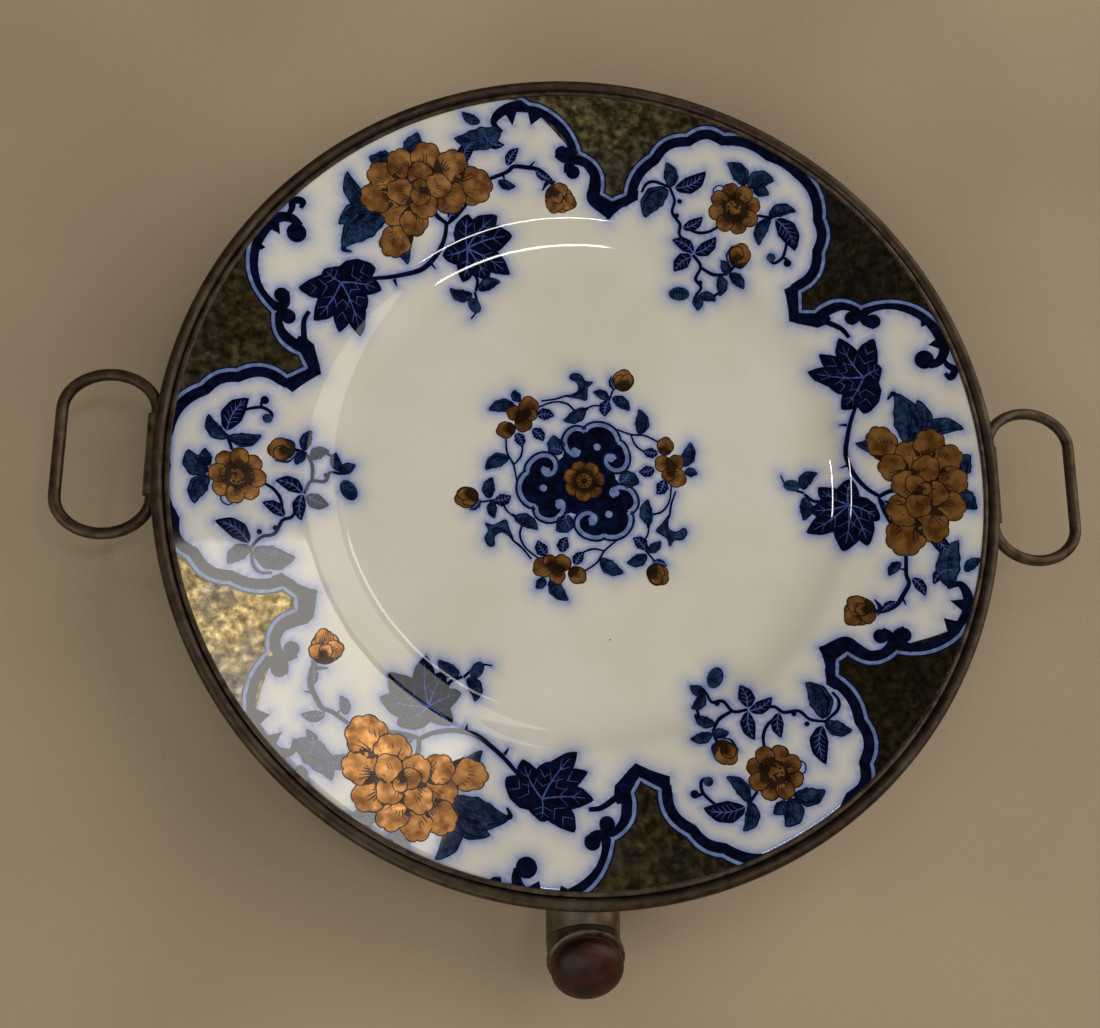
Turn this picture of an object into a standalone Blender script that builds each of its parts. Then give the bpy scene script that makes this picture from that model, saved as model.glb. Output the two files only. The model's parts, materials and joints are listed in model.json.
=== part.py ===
"""Hot-water plate: an earthenware plate sealed into a shallow sheet-metal reservoir.

The reservoir has a wired rim, two folding loop handles in sheet clips, and an elbowed filler
spout that a screw stopper closes. Metres, +Z up, origin at the centre of the flat underside,
handles along X, spout towards -Y.
"""

import math

import bmesh
import bpy
from mathutils import Matrix, Vector

MM = 0.001
TURN = 2 * math.pi

# Driving sizes
HEIGHT = 40.0 * MM            # underside to the top of the rim bead
RIM_RADIUS = 131.0 * MM       # outside of the rim bead
PLATE_RADIUS = 126.2 * MM
SHEET = 0.6 * MM              # tinplate and brass sheet
GAP = 0.3 * MM                # what separate pieces keep between them
FACETS = 60                   # sides of every piece that turns about the plate's axis

# Rim
BEAD_RADIUS = 1.9 * MM
BEAD_CENTRE = (RIM_RADIUS - BEAD_RADIUS, HEIGHT - BEAD_RADIUS)
WIRE_RADIUS = BEAD_RADIUS - SHEET - GAP
BAND_INNER = BEAD_CENTRE[0] - BEAD_RADIUS
BAND_OUTER = BAND_INNER + SHEET
BAND_BOTTOM = 22.0 * MM
LIP_THICK = 0.4 * MM
LIP_OUTER = BAND_INNER - GAP
LIP_INNER = LIP_OUTER - 1.4 * MM
LIP_TOP = HEIGHT - 0.6 * MM

# Plate
FLANGE_EDGE = (125.2 * MM, HEIGHT - 1.4 * MM)
SHOULDER = (88.0 * MM, HEIGHT - 10.7 * MM)
WELL_RADIUS = 70.0 * MM
WELL_TOP = HEIGHT - 15.0 * MM
BODY_THICK = 4.2 * MM
FOOT_OUTER = 72.0 * MM
FOOT_INNER = FOOT_OUTER - 5.0 * MM
WELL_UNDER = WELL_TOP - BODY_THICK - 0.3 * MM
FOOT_BOTTOM = WELL_UNDER - 4.0 * MM
SOFTEN = 0.6 * MM             # rounding of the plate's edge and foot
FLAT_MARGIN = 12.0 * MM       # the well is flat to this far inside its radius

# Reservoir
FLOOR_THICK = 0.8 * MM
WALL_THICK = 0.7 * MM
WALL_BOTTOM_RADIUS = 107.6 * MM
WALL_TOP_RADIUS = BAND_INNER - GAP
WALL_TOP = 31.0 * MM
SEAM_TOP = 5.0 * MM
BOWL_START = 5.8 * MM
BOWL_END = 28.0 * MM
SEAT_INNER = 116.0 * MM
SEAT_BOTTOM = 29.2 * MM
SEAL_THICK = 1.3 * MM
SEAL_MARGIN = 1.0 * MM
STRAP_HALF_ANGLE = math.radians(2.2)

# Filler spout: a level stub and a mouth tube that rises from it at a mitre
TUBE_RADIUS = 11.0 * MM
TUBE_WALL = 0.9 * MM
TUBE_FACETS = 24
MITRE = Vector((0.0, -140.0 * MM, 17.5 * MM))
MOUTH_RISE = math.radians(50)
STUB_INNER_END = 106.5 * MM
MOUTH_END = 6.4 * MM          # distances along the mouth tube's axis, from the mitre
COLLAR_RADIUS = 11.5 * MM
COLLAR_BOTTOM = -1.0 * MM
COLLAR_TOP = 8.3 * MM

# Screw stopper
PITCH = 2.5 * MM
THREAD_DEPTH = 0.7 * MM
SCREW_MINOR = 6.2 * MM
THREAD_CLEARANCE = 0.4 * MM
THREAD_STEPS = 5              # levels of the thread's surface in one pitch
CHAMFER = 0.4 * MM
SCREW_END = -0.5 * MM
WASHER_THICK = 1.0 * MM
WASHER_RADIUS = 9.9 * MM
FLANGE_THICK = 0.8 * MM
FLANGE_RADIUS = 9.4 * MM
KNOB_RADIUS = 10.6 * MM
KNOB_STRAIGHT = 1.6 * MM
KNOB_DOME = 4.6 * MM
SPIGOT_RADIUS = 3.2 * MM
SPIGOT_LENGTH = 3.6 * MM
PIN_RADIUS = 0.7 * MM

# Handles
HANDLE_AXIS_RADIUS = 131.0 * MM
HANDLE_AXIS_HEIGHT = 32.8 * MM
HANDLE_WIRE = 1.8 * MM
LOOP_REACH = 27.6 * MM        # hinge bar to outer bar, centre to centre
LOOP_HALF = 24.5 * MM         # half the loop's length, centre to centre
LOOP_BEND = 11.3 * MM         # how far each rounded end runs along the loop
CLIP_LENGTH = 25.0 * MM
CLIP_BORE = 2.1 * MM
LEAF_BOTTOM = 23.5 * MM


def clear_scene():
    """Removes every object, so that the script can run again from the text editor."""
    for item in list(bpy.data.objects):
        bpy.data.objects.remove(item)


def material(name, colour, roughness, metallic=0.0):
    """A plain Principled material with one colour."""
    made = bpy.data.materials.new(name)
    made.use_nodes = True
    shader = made.node_tree.nodes["Principled BSDF"]
    shader.inputs["Base Color"].default_value = (*colour, 1)
    shader.inputs["Roughness"].default_value = roughness
    shader.inputs["Metallic"].default_value = metallic
    return made


def add_object(name, bm, finish, parent=None):
    """Makes a bmesh into a named object with its faces pointing out."""
    bmesh.ops.remove_doubles(bm, verts=bm.verts, dist=1e-6)
    bmesh.ops.recalc_face_normals(bm, faces=bm.faces)
    mesh = bpy.data.meshes.new(name)
    bm.to_mesh(mesh)
    bm.free()
    mesh.shade_smooth()
    mesh.set_sharp_from_angle(angle=math.radians(35))
    item = bpy.data.objects.new(name, mesh)
    bpy.context.scene.collection.objects.link(item)
    mesh.materials.append(finish)
    item.parent = parent
    return item


def spin_outline(outline, steps=FACETS):
    """Turns a closed outline of (radius, height) points about Z into a ring or a disc."""
    bm = bmesh.new()
    verts = [bm.verts.new((r, 0, z)) for r, z in outline]
    edges = [bm.edges.new((a, b)) for a, b in zip(verts, verts[1:] + verts[:1])
             if max(a.co.x, b.co.x) > 1e-7]
    bmesh.ops.spin(bm, geom=verts + edges, cent=(0, 0, 0), axis=(0, 0, 1), angle=TURN,
                   steps=steps, use_merge=True)
    bmesh.ops.remove_doubles(bm, verts=bm.verts, dist=1e-6)
    return bm


def arc(centre, radius, start, end, steps):
    """Points on an arc, with angles in degrees."""
    angles = [math.radians(start + (end - start) * k / steps) for k in range(steps + 1)]
    return [(centre[0] + radius * math.cos(a), centre[1] + radius * math.sin(a)) for a in angles]


def bezier(start, control, end, steps):
    """Points on a quadratic curve."""
    points = []
    for k in range(steps + 1):
        t = k / steps
        points.append(tuple((1 - t) ** 2 * a + 2 * t * (1 - t) * b + t * t * c
                            for a, b, c in zip(start, control, end)))
    return points


def offset(points, distance):
    """The open outline moved to its left by a distance."""
    moved = []
    for k, (r, z) in enumerate(points):
        before, after = points[max(k - 1, 0)], points[min(k + 1, len(points) - 1)]
        along = Vector((after[0] - before[0], after[1] - before[1])).normalized()
        moved.append((r - along.y * distance, z + along.x * distance))
    return moved


def cut(item, cutter_bm, name):
    """Subtracts a closed bmesh from an object with a Boolean modifier."""
    bmesh.ops.recalc_face_normals(cutter_bm, faces=cutter_bm.faces)
    mesh = bpy.data.meshes.new(name)
    cutter_bm.to_mesh(mesh)
    cutter_bm.free()
    cutter = bpy.data.objects.new(name, mesh)
    bpy.context.scene.collection.objects.link(cutter)
    cutter.parent = item.parent
    cutter.hide_render = True
    cutter.display_type = "WIRE"
    boolean = item.modifiers.new(name, "BOOLEAN")
    boolean.operation = "DIFFERENCE"
    boolean.solver = "EXACT"
    boolean.object = cutter


def flange_top(radius):
    """Height of the plate's flange on its upper side."""
    share = (radius - SHOULDER[0]) / (FLANGE_EDGE[0] - SHOULDER[0])
    return SHOULDER[1] + share * (FLANGE_EDGE[1] - SHOULDER[1])


def flange_under(radius):
    """Height of the plate's flange on its lower side."""
    return flange_top(radius) - BODY_THICK


def wall_outside():
    """The reservoir wall's outer face, from the floor seam up to the seat."""
    bowl = bezier((WALL_BOTTOM_RADIUS, BOWL_START), (WALL_TOP_RADIUS, 0.62 * BOWL_END),
                  (WALL_TOP_RADIUS, BOWL_END), 8)
    return [(WALL_BOTTOM_RADIUS, FLOOR_THICK + GAP), *bowl, (WALL_TOP_RADIUS, WALL_TOP)]


def make_plate(finish):
    """The plate: flat well, curved shoulder, sloping flange with a rounded edge, foot ring."""
    sweep = (WELL_RADIUS + 0.45 * (SHOULDER[0] - WELL_RADIUS), WELL_TOP + SOFTEN)
    shoulder = bezier((WELL_RADIUS, WELL_TOP), sweep, SHOULDER, 6)
    edge_low = PLATE_RADIUS - 2 * SOFTEN
    edge = [(PLATE_RADIUS - SOFTEN / 2, FLANGE_EDGE[1] - SOFTEN / 2),
            (PLATE_RADIUS, FLANGE_EDGE[1] - 0.4 * BODY_THICK),
            (edge_low, flange_under(edge_low) + SOFTEN)]
    under_start = SHOULDER[0] + 2 * MM
    under = [(edge_low - 2 * SOFTEN, flange_under(edge_low - 2 * SOFTEN)),
             (under_start, flange_under(under_start)),
             ((under_start + FOOT_OUTER) / 2, WELL_UNDER + 0.6 * BODY_THICK),
             (FOOT_OUTER + 2 * SOFTEN, WELL_UNDER), (FOOT_OUTER - SOFTEN, FOOT_BOTTOM),
             (FOOT_INNER + SOFTEN, FOOT_BOTTOM), (FOOT_INNER, WELL_UNDER), (0, WELL_UNDER)]
    middle = (SHOULDER[0] + FLANGE_EDGE[0]) / 2
    outline = [(0, WELL_TOP), (WELL_RADIUS - FLAT_MARGIN, WELL_TOP), *shoulder,
               (middle, flange_top(middle)), FLANGE_EDGE, *edge, *under]
    return add_object("plate", spin_outline(outline), finish)


def make_rim(brass, iron):
    """The wired band round the plate, its wire, and the thin lip that holds the plate down."""
    roll_end = -115           # degrees; the sheet stops there, short of touching itself
    outline = [(BAND_OUTER, BAND_BOTTOM), (BAND_OUTER, BEAD_CENTRE[1] - BEAD_RADIUS)]
    outline += arc(BEAD_CENTRE, BEAD_RADIUS - SHEET, 180, roll_end, 7)
    outline += arc(BEAD_CENTRE, BEAD_RADIUS, roll_end, 180, 9)
    outline += [(BAND_INNER, BAND_BOTTOM)]
    band = add_object("rim_band", spin_outline(outline), brass)
    add_object("rim_wire", spin_outline(arc(BEAD_CENTRE, WIRE_RADIUS, 0, 300, 5)), iron)
    lip_leg = LIP_OUTER - LIP_THICK
    lip_foot = WALL_TOP + 1 * MM
    half = LIP_THICK / 2
    lip = [(LIP_INNER, LIP_TOP - LIP_THICK), (LIP_INNER, LIP_TOP - half), (LIP_INNER + half, LIP_TOP),
           (LIP_OUTER, LIP_TOP), (LIP_OUTER, lip_foot), (lip_leg, lip_foot),
           (lip_leg, LIP_TOP - LIP_THICK)]
    add_object("retaining_lip", spin_outline(lip), brass)
    return band


def make_seat(tin, putty):
    """The angle ring soldered inside the wall, and the putty that beds the plate on it."""
    seat_outer = WALL_TOP_RADIUS - WALL_THICK - GAP
    seal_outer = seat_outer - SEAL_MARGIN

    def seat_height(radius):
        """Upper face of the seat ring."""
        return flange_under(radius) - SEAL_THICK - 2 * GAP

    leg_inner = seat_outer - SHEET
    seat = [(SEAT_INNER, seat_height(SEAT_INNER)), (SEAT_INNER, seat_height(SEAT_INNER) - SHEET),
            (leg_inner, seat_height(leg_inner) - SHEET), (leg_inner, SEAT_BOTTOM),
            (seat_outer, SEAT_BOTTOM), (seat_outer, seat_height(seat_outer))]
    add_object("seat_ring", spin_outline(seat), tin)
    seal_inner = SEAT_INNER + SEAL_MARGIN
    seal = [(seal_inner, flange_under(seal_inner) - GAP), (seal_inner, seat_height(seal_inner) + GAP),
            (seal_outer, seat_height(seal_outer) + GAP), (seal_outer, flange_under(seal_outer) - GAP)]
    add_object("plate_seal", spin_outline(seal), putty)


def make_reservoir(brass):
    """The bowl-shaped wall, the strap over its upright joint and the floor with its turned-up edge."""
    outside = wall_outside()
    inside = offset(outside, WALL_THICK)
    wall = add_object("reservoir_wall", spin_outline(outside + inside[::-1]), brass)

    strap_path = [p for p in outside[1:] if p[1] < BAND_BOTTOM - 0.5 * MM]
    strap_near, strap_far = offset(strap_path, -GAP), offset(strap_path, -GAP - SHEET)
    bm = bmesh.new()
    face = bm.faces.new([bm.verts.new((0, r, z)) for r, z in strap_near + strap_far[::-1]])
    bmesh.ops.rotate(bm, verts=bm.verts, cent=(0, 0, 0), matrix=Matrix.Rotation(-STRAP_HALF_ANGLE, 3, "Z"))
    grown = bmesh.ops.extrude_face_region(bm, geom=[face])
    new_verts = [g for g in grown["geom"] if isinstance(g, bmesh.types.BMVert)]
    whole_turn = Matrix.Rotation(2 * STRAP_HALF_ANGLE, 3, "Z")
    bmesh.ops.rotate(bm, verts=new_verts, cent=(0, 0, 0), matrix=whole_turn)
    add_object("wall_strap", bm, brass)

    seam_inner = WALL_BOTTOM_RADIUS + GAP
    seam_outer = seam_inner + SHEET
    floor = [(0, 0), (seam_outer - SHEET / 2, 0), (seam_outer, SHEET / 2), (seam_outer, SEAM_TOP),
             (seam_inner, SEAM_TOP), (seam_inner, FLOOR_THICK), (0, FLOOR_THICK)]
    add_object("reservoir_floor", spin_outline(floor), brass)
    return wall


def ring_solid(rings, closed=True):
    """Skins rings of points into a solid: a tube whose last ring meets its first, or a rod."""
    bm = bmesh.new()
    loops = [[bm.verts.new(p) for p in ring] for ring in rings]
    pairs = list(zip(loops, loops[1:]))
    if closed:
        pairs.append((loops[-1], loops[0]))
    else:
        bm.faces.new(loops[0][::-1])
        bm.faces.new(loops[-1])
    for lower, upper in pairs:
        for k, vert in enumerate(lower):
            bm.faces.new((lower[k - 1], vert, upper[k], upper[k - 1]))
    return bm


def stub_ring(radius, radius_at=None, mitred=False):
    """A ring of points round the level stub, square at a distance from the plate's axis or mitred."""
    points = []
    for k in range(TUBE_FACETS):
        angle = TURN * k / TUBE_FACETS
        x, up = radius * math.cos(angle), radius * math.sin(angle)
        y = MITRE.y + (up * math.tan(MOUTH_RISE / 2) + GAP / 2) if mitred else -radius_at
        points.append((x, y, MITRE.z + up))
    return points


def spout_hole():
    """The level hole that the stub passes through, as a closed bmesh."""
    bm = bmesh.new()
    middle = Matrix.Translation((0, -(STUB_INNER_END - MITRE.y) / 2, MITRE.z))
    radius = TUBE_RADIUS + GAP
    bmesh.ops.create_cone(bm, cap_ends=True, segments=TUBE_FACETS, radius1=radius, radius2=radius,
                          depth=1.5 * (-MITRE.y - STUB_INNER_END),
                          matrix=middle @ Matrix.Rotation(math.pi / 2, 4, "X"))
    return bm


def mouth_ring(radius, along=None):
    """A ring of points round the mouth tube in its own frame, square at a distance or mitred."""
    points = []
    for k in range(TUBE_FACETS):
        angle = TURN * k / TUBE_FACETS
        x, side = radius * math.cos(angle), radius * math.sin(angle)
        z = side * math.tan(MOUTH_RISE / 2) + GAP / 2 if along is None else along
        points.append((x, side, z))
    return points


def thread_wall(bottom, top, minor_radius):
    """Heights and radii of one screw surface, as rings of points from bottom to top.

    The surface turns into itself when it is turned by an angle and moved by pitch * angle / turn.
    """
    levels = round((top - bottom) / (PITCH / THREAD_STEPS))
    rings = []
    for level in range(levels + 1):
        z = bottom + (top - bottom) * level / levels
        ring = []
        for k in range(TUBE_FACETS):
            angle = TURN * k / TUBE_FACETS
            wave = 0.5 + 0.5 * math.cos(TURN * z / PITCH - angle)
            radius = minor_radius + THREAD_DEPTH * wave
            ring.append((radius * math.cos(angle), radius * math.sin(angle), z))
        rings.append(ring)
    return rings


def flat_ring(radius, z):
    """A plain ring of points about Z."""
    return [(radius * math.cos(TURN * k / TUBE_FACETS), radius * math.sin(TURN * k / TUBE_FACETS), z)
            for k in range(TUBE_FACETS)]


def make_spout(brass):
    """The level stub, and on the mouth's axis the mouth tube and the collar with its inside thread."""
    bore = TUBE_RADIUS - TUBE_WALL
    stub = ring_solid([stub_ring(TUBE_RADIUS, STUB_INNER_END), stub_ring(TUBE_RADIUS, mitred=True),
                       stub_ring(bore, mitred=True), stub_ring(bore, STUB_INNER_END)])
    add_object("spout_stub", stub, brass)

    axis = bpy.data.objects.new("spout_axis", None)
    bpy.context.scene.collection.objects.link(axis)
    axis.location = MITRE
    axis.rotation_euler = (math.pi / 2 - MOUTH_RISE, 0, 0)

    mouth = ring_solid([mouth_ring(TUBE_RADIUS), mouth_ring(TUBE_RADIUS, MOUTH_END),
                        mouth_ring(bore, MOUTH_END), mouth_ring(bore)])
    add_object("spout_mouth", mouth, brass, axis)

    sleeve = bore - GAP
    shelf = MOUTH_END + GAP
    bore_minor = SCREW_MINOR + THREAD_CLEARANCE
    bore_major = bore_minor + THREAD_DEPTH
    thread = thread_wall(COLLAR_BOTTOM + CHAMFER, COLLAR_TOP - CHAMFER, bore_minor)
    thread = [flat_ring(bore_major, COLLAR_BOTTOM), *thread, flat_ring(bore_major, COLLAR_TOP)]
    outside = [flat_ring(sleeve, COLLAR_BOTTOM), flat_ring(sleeve, shelf),
               flat_ring(COLLAR_RADIUS - 0.3 * MM, shelf), flat_ring(COLLAR_RADIUS, shelf + 0.4 * MM),
               flat_ring(COLLAR_RADIUS, COLLAR_TOP - 0.6 * MM),
               flat_ring(COLLAR_RADIUS - 0.6 * MM, COLLAR_TOP)]
    add_object("mouth_collar", ring_solid(outside + thread[::-1]), brass, axis)
    return axis


def make_stopper(axis, brass, vulcanite, leather):
    """The screw with its flange and spigot, the knob pinned to the spigot, and the washer."""
    washer_bottom = COLLAR_TOP + GAP
    washer_top = washer_bottom + WASHER_THICK
    washer_bore = SCREW_MINOR + THREAD_DEPTH + GAP
    washer = [(washer_bore, washer_bottom), (WASHER_RADIUS, washer_bottom),
              (WASHER_RADIUS, washer_top), (washer_bore, washer_top)]
    add_object("stopper_washer", spin_outline(washer, TUBE_FACETS), leather, axis)

    flange_bottom = washer_top + GAP
    flange_top_z = flange_bottom + FLANGE_THICK
    spigot_top = flange_top_z + SPIGOT_LENGTH
    thread = thread_wall(SCREW_END + CHAMFER, washer_bottom - CHAMFER, SCREW_MINOR)
    shank = SCREW_MINOR - CHAMFER
    rings = [flat_ring(shank, SCREW_END), *thread, flat_ring(shank, washer_bottom),
             flat_ring(shank, flange_bottom), flat_ring(FLANGE_RADIUS, flange_bottom),
             flat_ring(FLANGE_RADIUS, flange_top_z), flat_ring(SPIGOT_RADIUS, flange_top_z),
             flat_ring(SPIGOT_RADIUS, spigot_top)]
    screw = add_object("stopper_screw", ring_solid(rings, closed=False), brass, axis)

    knob_bottom = flange_bottom
    skirt_inner = FLANGE_RADIUS + GAP
    skirt_top = flange_top_z + GAP
    bore_radius = SPIGOT_RADIUS + GAP
    bore_top = spigot_top + GAP
    dome_start = knob_bottom + KNOB_STRAIGHT
    dome = [(KNOB_RADIUS * math.cos(math.radians(a)) ** 0.72,
             dome_start + KNOB_DOME * math.sin(math.radians(a))) for a in range(0, 90, 15)]
    knob = [(skirt_inner, knob_bottom), (KNOB_RADIUS - 0.4 * MM, knob_bottom),
            (KNOB_RADIUS, knob_bottom + 0.4 * MM), *dome, (0, dome_start + KNOB_DOME),
            (0, bore_top), (bore_radius, bore_top), (bore_radius, skirt_top), (skirt_inner, skirt_top)]
    head = add_object("stopper_knob", spin_outline(knob, TUBE_FACETS), vulcanite, axis)

    pin_height = flange_top_z + 0.55 * SPIGOT_LENGTH
    pin_half = KNOB_RADIUS - 1.2 * MM

    def rod(radius, half):
        """A rod along X through the knob and the spigot."""
        bm = bmesh.new()
        turn = Matrix.Translation((0, 0, pin_height)) @ Matrix.Rotation(math.pi / 2, 4, "Y")
        bmesh.ops.create_cone(bm, cap_ends=True, segments=12, radius1=radius, radius2=radius,
                              depth=2 * half, matrix=turn)
        return bm

    add_object("stopper_pin", rod(PIN_RADIUS, pin_half), brass, axis)
    cut(head, rod(PIN_RADIUS + GAP, 2 * KNOB_RADIUS), "knob_pin_hole")
    cut(screw, rod(PIN_RADIUS + GAP, 2 * KNOB_RADIUS), "spigot_pin_hole")


def loop_path():
    """Centre line of a handle loop about its hinge bar: (reach, along) points, hinge bar first."""
    straight = LOOP_HALF - LOOP_BEND
    quarter = [math.radians(90 * k / 8) for k in range(9)]
    half = LOOP_REACH / 2
    inner = [(half - half * math.cos(a), straight + LOOP_BEND * math.sin(a)) for a in quarter]
    outer = [(half + half * math.sin(a), straight + LOOP_BEND * math.cos(a)) for a in quarter[1:]]
    upper = inner + outer
    return upper + [(reach, -along) for reach, along in upper[::-1]]


def make_handle(name, side, steel):
    """One closed wire loop that turns on its hinge bar: side is +1 on +X and -1 on -X."""
    pivot = bpy.data.objects.new(name + "_hinge", None)
    bpy.context.scene.collection.objects.link(pivot)
    pivot.location = (side * HANDLE_AXIS_RADIUS, 0, HANDLE_AXIS_HEIGHT)
    curve = bpy.data.curves.new(name, "CURVE")
    curve.dimensions = "3D"
    curve.bevel_depth = HANDLE_WIRE
    curve.bevel_resolution = 3
    spline = curve.splines.new("POLY")
    path = loop_path()
    spline.points.add(len(path) - 1)
    for point, (reach, along) in zip(spline.points, path):
        point.co = (side * reach, along, 0, 1)
    spline.use_cyclic_u = True
    curve.materials.append(steel)
    item = bpy.data.objects.new(name, curve)
    bpy.context.scene.collection.objects.link(item)
    item.parent = pivot


def make_clip(name, side, brass):
    """The sheet clip folded round the hinge bar, with a leaf that lies on the rim band."""
    outer = CLIP_BORE + SHEET
    leaf_out = -(HANDLE_AXIS_RADIUS - BAND_OUTER - GAP - SHEET)
    leaf_in = leaf_out - SHEET
    leaf_drop = LEAF_BOTTOM - HANDLE_AXIS_HEIGHT
    section = [(leaf_in, leaf_drop), (leaf_out, leaf_drop), (leaf_out, -0.75 * outer)]
    section += arc((0, 0), outer, -110, 165, 11)
    section += [(leaf_in, 0.15 * outer)]
    bore = arc((0, 0), CLIP_BORE, 0, 330, 11)
    steps = 6
    bm = bmesh.new()

    def station(share):
        """The section's points at one place along the clip, its leaf curved with the band."""
        y = (share - 0.5) * CLIP_LENGTH
        sag = BAND_OUTER - math.sqrt(BAND_OUTER ** 2 - y ** 2)

        def place(x, z):
            """A section point, moved in by the band's curve where it is on the leaf."""
            on_leaf = min(1.0, max(0.0, -(z + outer) / (outer + SHEET)))
            return (side * (x - sag * on_leaf), y, z)

        return [place(*p) for p in section], [place(*p) for p in bore]

    stations = [station(k / steps) for k in range(steps + 1)]
    walls = []
    for outer_ring, inner_ring in stations:
        loops = []
        for ring in (outer_ring, inner_ring):
            verts = [bm.verts.new(p) for p in ring]
            loops.append([bm.edges.new((a, b)) for a, b in zip(verts, verts[1:] + verts[:1])])
        walls.append(loops)
    for (outer_a, inner_a), (outer_b, inner_b) in zip(walls, walls[1:]):
        bmesh.ops.bridge_loops(bm, edges=outer_a + outer_b)
        bmesh.ops.bridge_loops(bm, edges=inner_a + inner_b)
    for outer_end, inner_end in (walls[0], walls[-1]):
        bmesh.ops.triangle_fill(bm, edges=outer_end + inner_end, use_beauty=True)
    item = add_object(name, bm, brass)
    item.location = (side * HANDLE_AXIS_RADIUS, 0, HANDLE_AXIS_HEIGHT)


def main():
    """Builds every piece."""
    clear_scene()
    glaze = material("glazed_earthenware", (0.80, 0.80, 0.76), 0.12)
    brass = material("browned_brass", (0.13, 0.085, 0.055), 0.45, 0.9)
    tin = material("tinned_sheet", (0.30, 0.29, 0.26), 0.5, 0.9)
    iron = material("iron_wire", (0.16, 0.14, 0.12), 0.6, 0.9)
    putty = material("red_lead_putty", (0.45, 0.33, 0.24), 0.9)
    vulcanite = material("vulcanite", (0.12, 0.035, 0.018), 0.25)
    leather = material("leather_washer", (0.10, 0.06, 0.04), 0.8)

    make_plate(glaze)
    band = make_rim(brass, iron)
    make_seat(tin, putty)
    wall = make_reservoir(brass)
    for item, name in ((band, "band_spout_hole"), (wall, "wall_spout_hole")):
        cut(item, spout_hole(), name)
    axis = make_spout(brass)
    make_stopper(axis, brass, vulcanite, leather)
    for name, side in (("right", 1), ("left", -1)):
        make_handle("handle_" + name, side, brass)
        make_clip("handle_clip_" + name, side, brass)


main()
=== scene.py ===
"""Looks of a hot-water plate: printed earthenware dish in a browned brass reservoir.

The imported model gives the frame. This script replaces the turned and drawn pieces with finer
meshes of the same size, prints the dish's ornament and gives every piece its finish. Lengths are
in millimetres until a mesh is finished, and then in metres. The dish's print repeats three times
round a centre of its own, as a transfer print laid on by hand does.
"""

from __future__ import annotations

import json
import logging
import math
from collections.abc import Sequence
from dataclasses import dataclass, field
from enum import Enum

import bmesh
import bpy
import numpy as np
from mathutils import Matrix, Vector, kdtree

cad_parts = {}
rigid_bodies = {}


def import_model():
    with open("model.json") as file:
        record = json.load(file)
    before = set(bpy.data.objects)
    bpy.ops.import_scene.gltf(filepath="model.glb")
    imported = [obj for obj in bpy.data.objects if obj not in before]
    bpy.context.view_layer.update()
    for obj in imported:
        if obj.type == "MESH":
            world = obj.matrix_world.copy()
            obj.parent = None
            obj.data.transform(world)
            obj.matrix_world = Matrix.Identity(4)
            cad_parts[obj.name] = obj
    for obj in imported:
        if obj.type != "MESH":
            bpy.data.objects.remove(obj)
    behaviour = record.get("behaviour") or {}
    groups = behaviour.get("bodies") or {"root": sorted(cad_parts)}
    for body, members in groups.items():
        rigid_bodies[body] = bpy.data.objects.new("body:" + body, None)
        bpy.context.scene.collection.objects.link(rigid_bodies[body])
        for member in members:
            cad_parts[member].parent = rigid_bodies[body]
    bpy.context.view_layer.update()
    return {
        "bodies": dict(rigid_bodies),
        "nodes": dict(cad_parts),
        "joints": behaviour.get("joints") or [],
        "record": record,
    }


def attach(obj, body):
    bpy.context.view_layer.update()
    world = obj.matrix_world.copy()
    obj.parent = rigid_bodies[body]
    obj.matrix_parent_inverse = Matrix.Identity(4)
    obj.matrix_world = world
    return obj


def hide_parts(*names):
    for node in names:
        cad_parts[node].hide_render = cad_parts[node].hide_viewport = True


MM = 0.001
TURN = 2 * math.pi
LOG = logging.getLogger("hot_water_plate")

Point = tuple[float, float]
Shapes = list[tuple[list[np.ndarray], float]]

# A clear lead glaze as the shader's coat; the colour below it does not shine on its own.
WET_GLAZE = {"Specular IOR Level": 0.0, "Coat Weight": 1.0, "Coat Roughness": 0.035, "Coat IOR": 1.52}


# ------------------------------------------------------------------------------- finishes


def linear(code: str) -> tuple[float, float, float, float]:
    """Turns an sRGB hex code into a linear colour with full alpha.

    Args:
        code: Six hex digits after a hash.

    Returns:
        Linear red, green and blue, and an alpha of 1.
    """
    parts = [int(code[k : k + 2], 16) / 255 for k in (1, 3, 5)]
    curve = [c / 12.92 if c <= 0.04045 else ((c + 0.055) / 1.055) ** 2.4 for c in parts]
    return (curve[0], curve[1], curve[2], 1.0)


def feed(tree: bpy.types.NodeTree, made: bpy.types.Node, links: dict) -> None:
    """Feeds a node's inputs from other nodes or with constants.

    Args:
        tree: The material's node tree.
        made: The node to feed.
        links: Input name or number, to a node, an output socket, a hex code or a constant.
    """
    for name, source in links.items():
        socket = made.inputs[name]
        if isinstance(source, bpy.types.Node):
            source = source.outputs[2 if source.bl_idname == "ShaderNodeMix" else 0]
        if isinstance(source, bpy.types.NodeSocket):
            tree.links.new(source, socket)
        else:
            socket.default_value = linear(source) if isinstance(source, str) else source


def add(tree: bpy.types.NodeTree, kind: str, links: dict, **settings: object) -> bpy.types.Node:
    """Adds one shader node with its settings and links.

    Args:
        tree: The material's node tree.
        kind: The node's type, without "ShaderNode" in front.
        links: What feeds its inputs, as feed() takes it.
        **settings: Properties of the node itself.

    Returns:
        The new node.
    """
    made = tree.nodes.new("ShaderNode" + kind)
    for name, value in settings.items():
        setattr(made, name, value)
    feed(tree, made, links)
    return made


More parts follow.
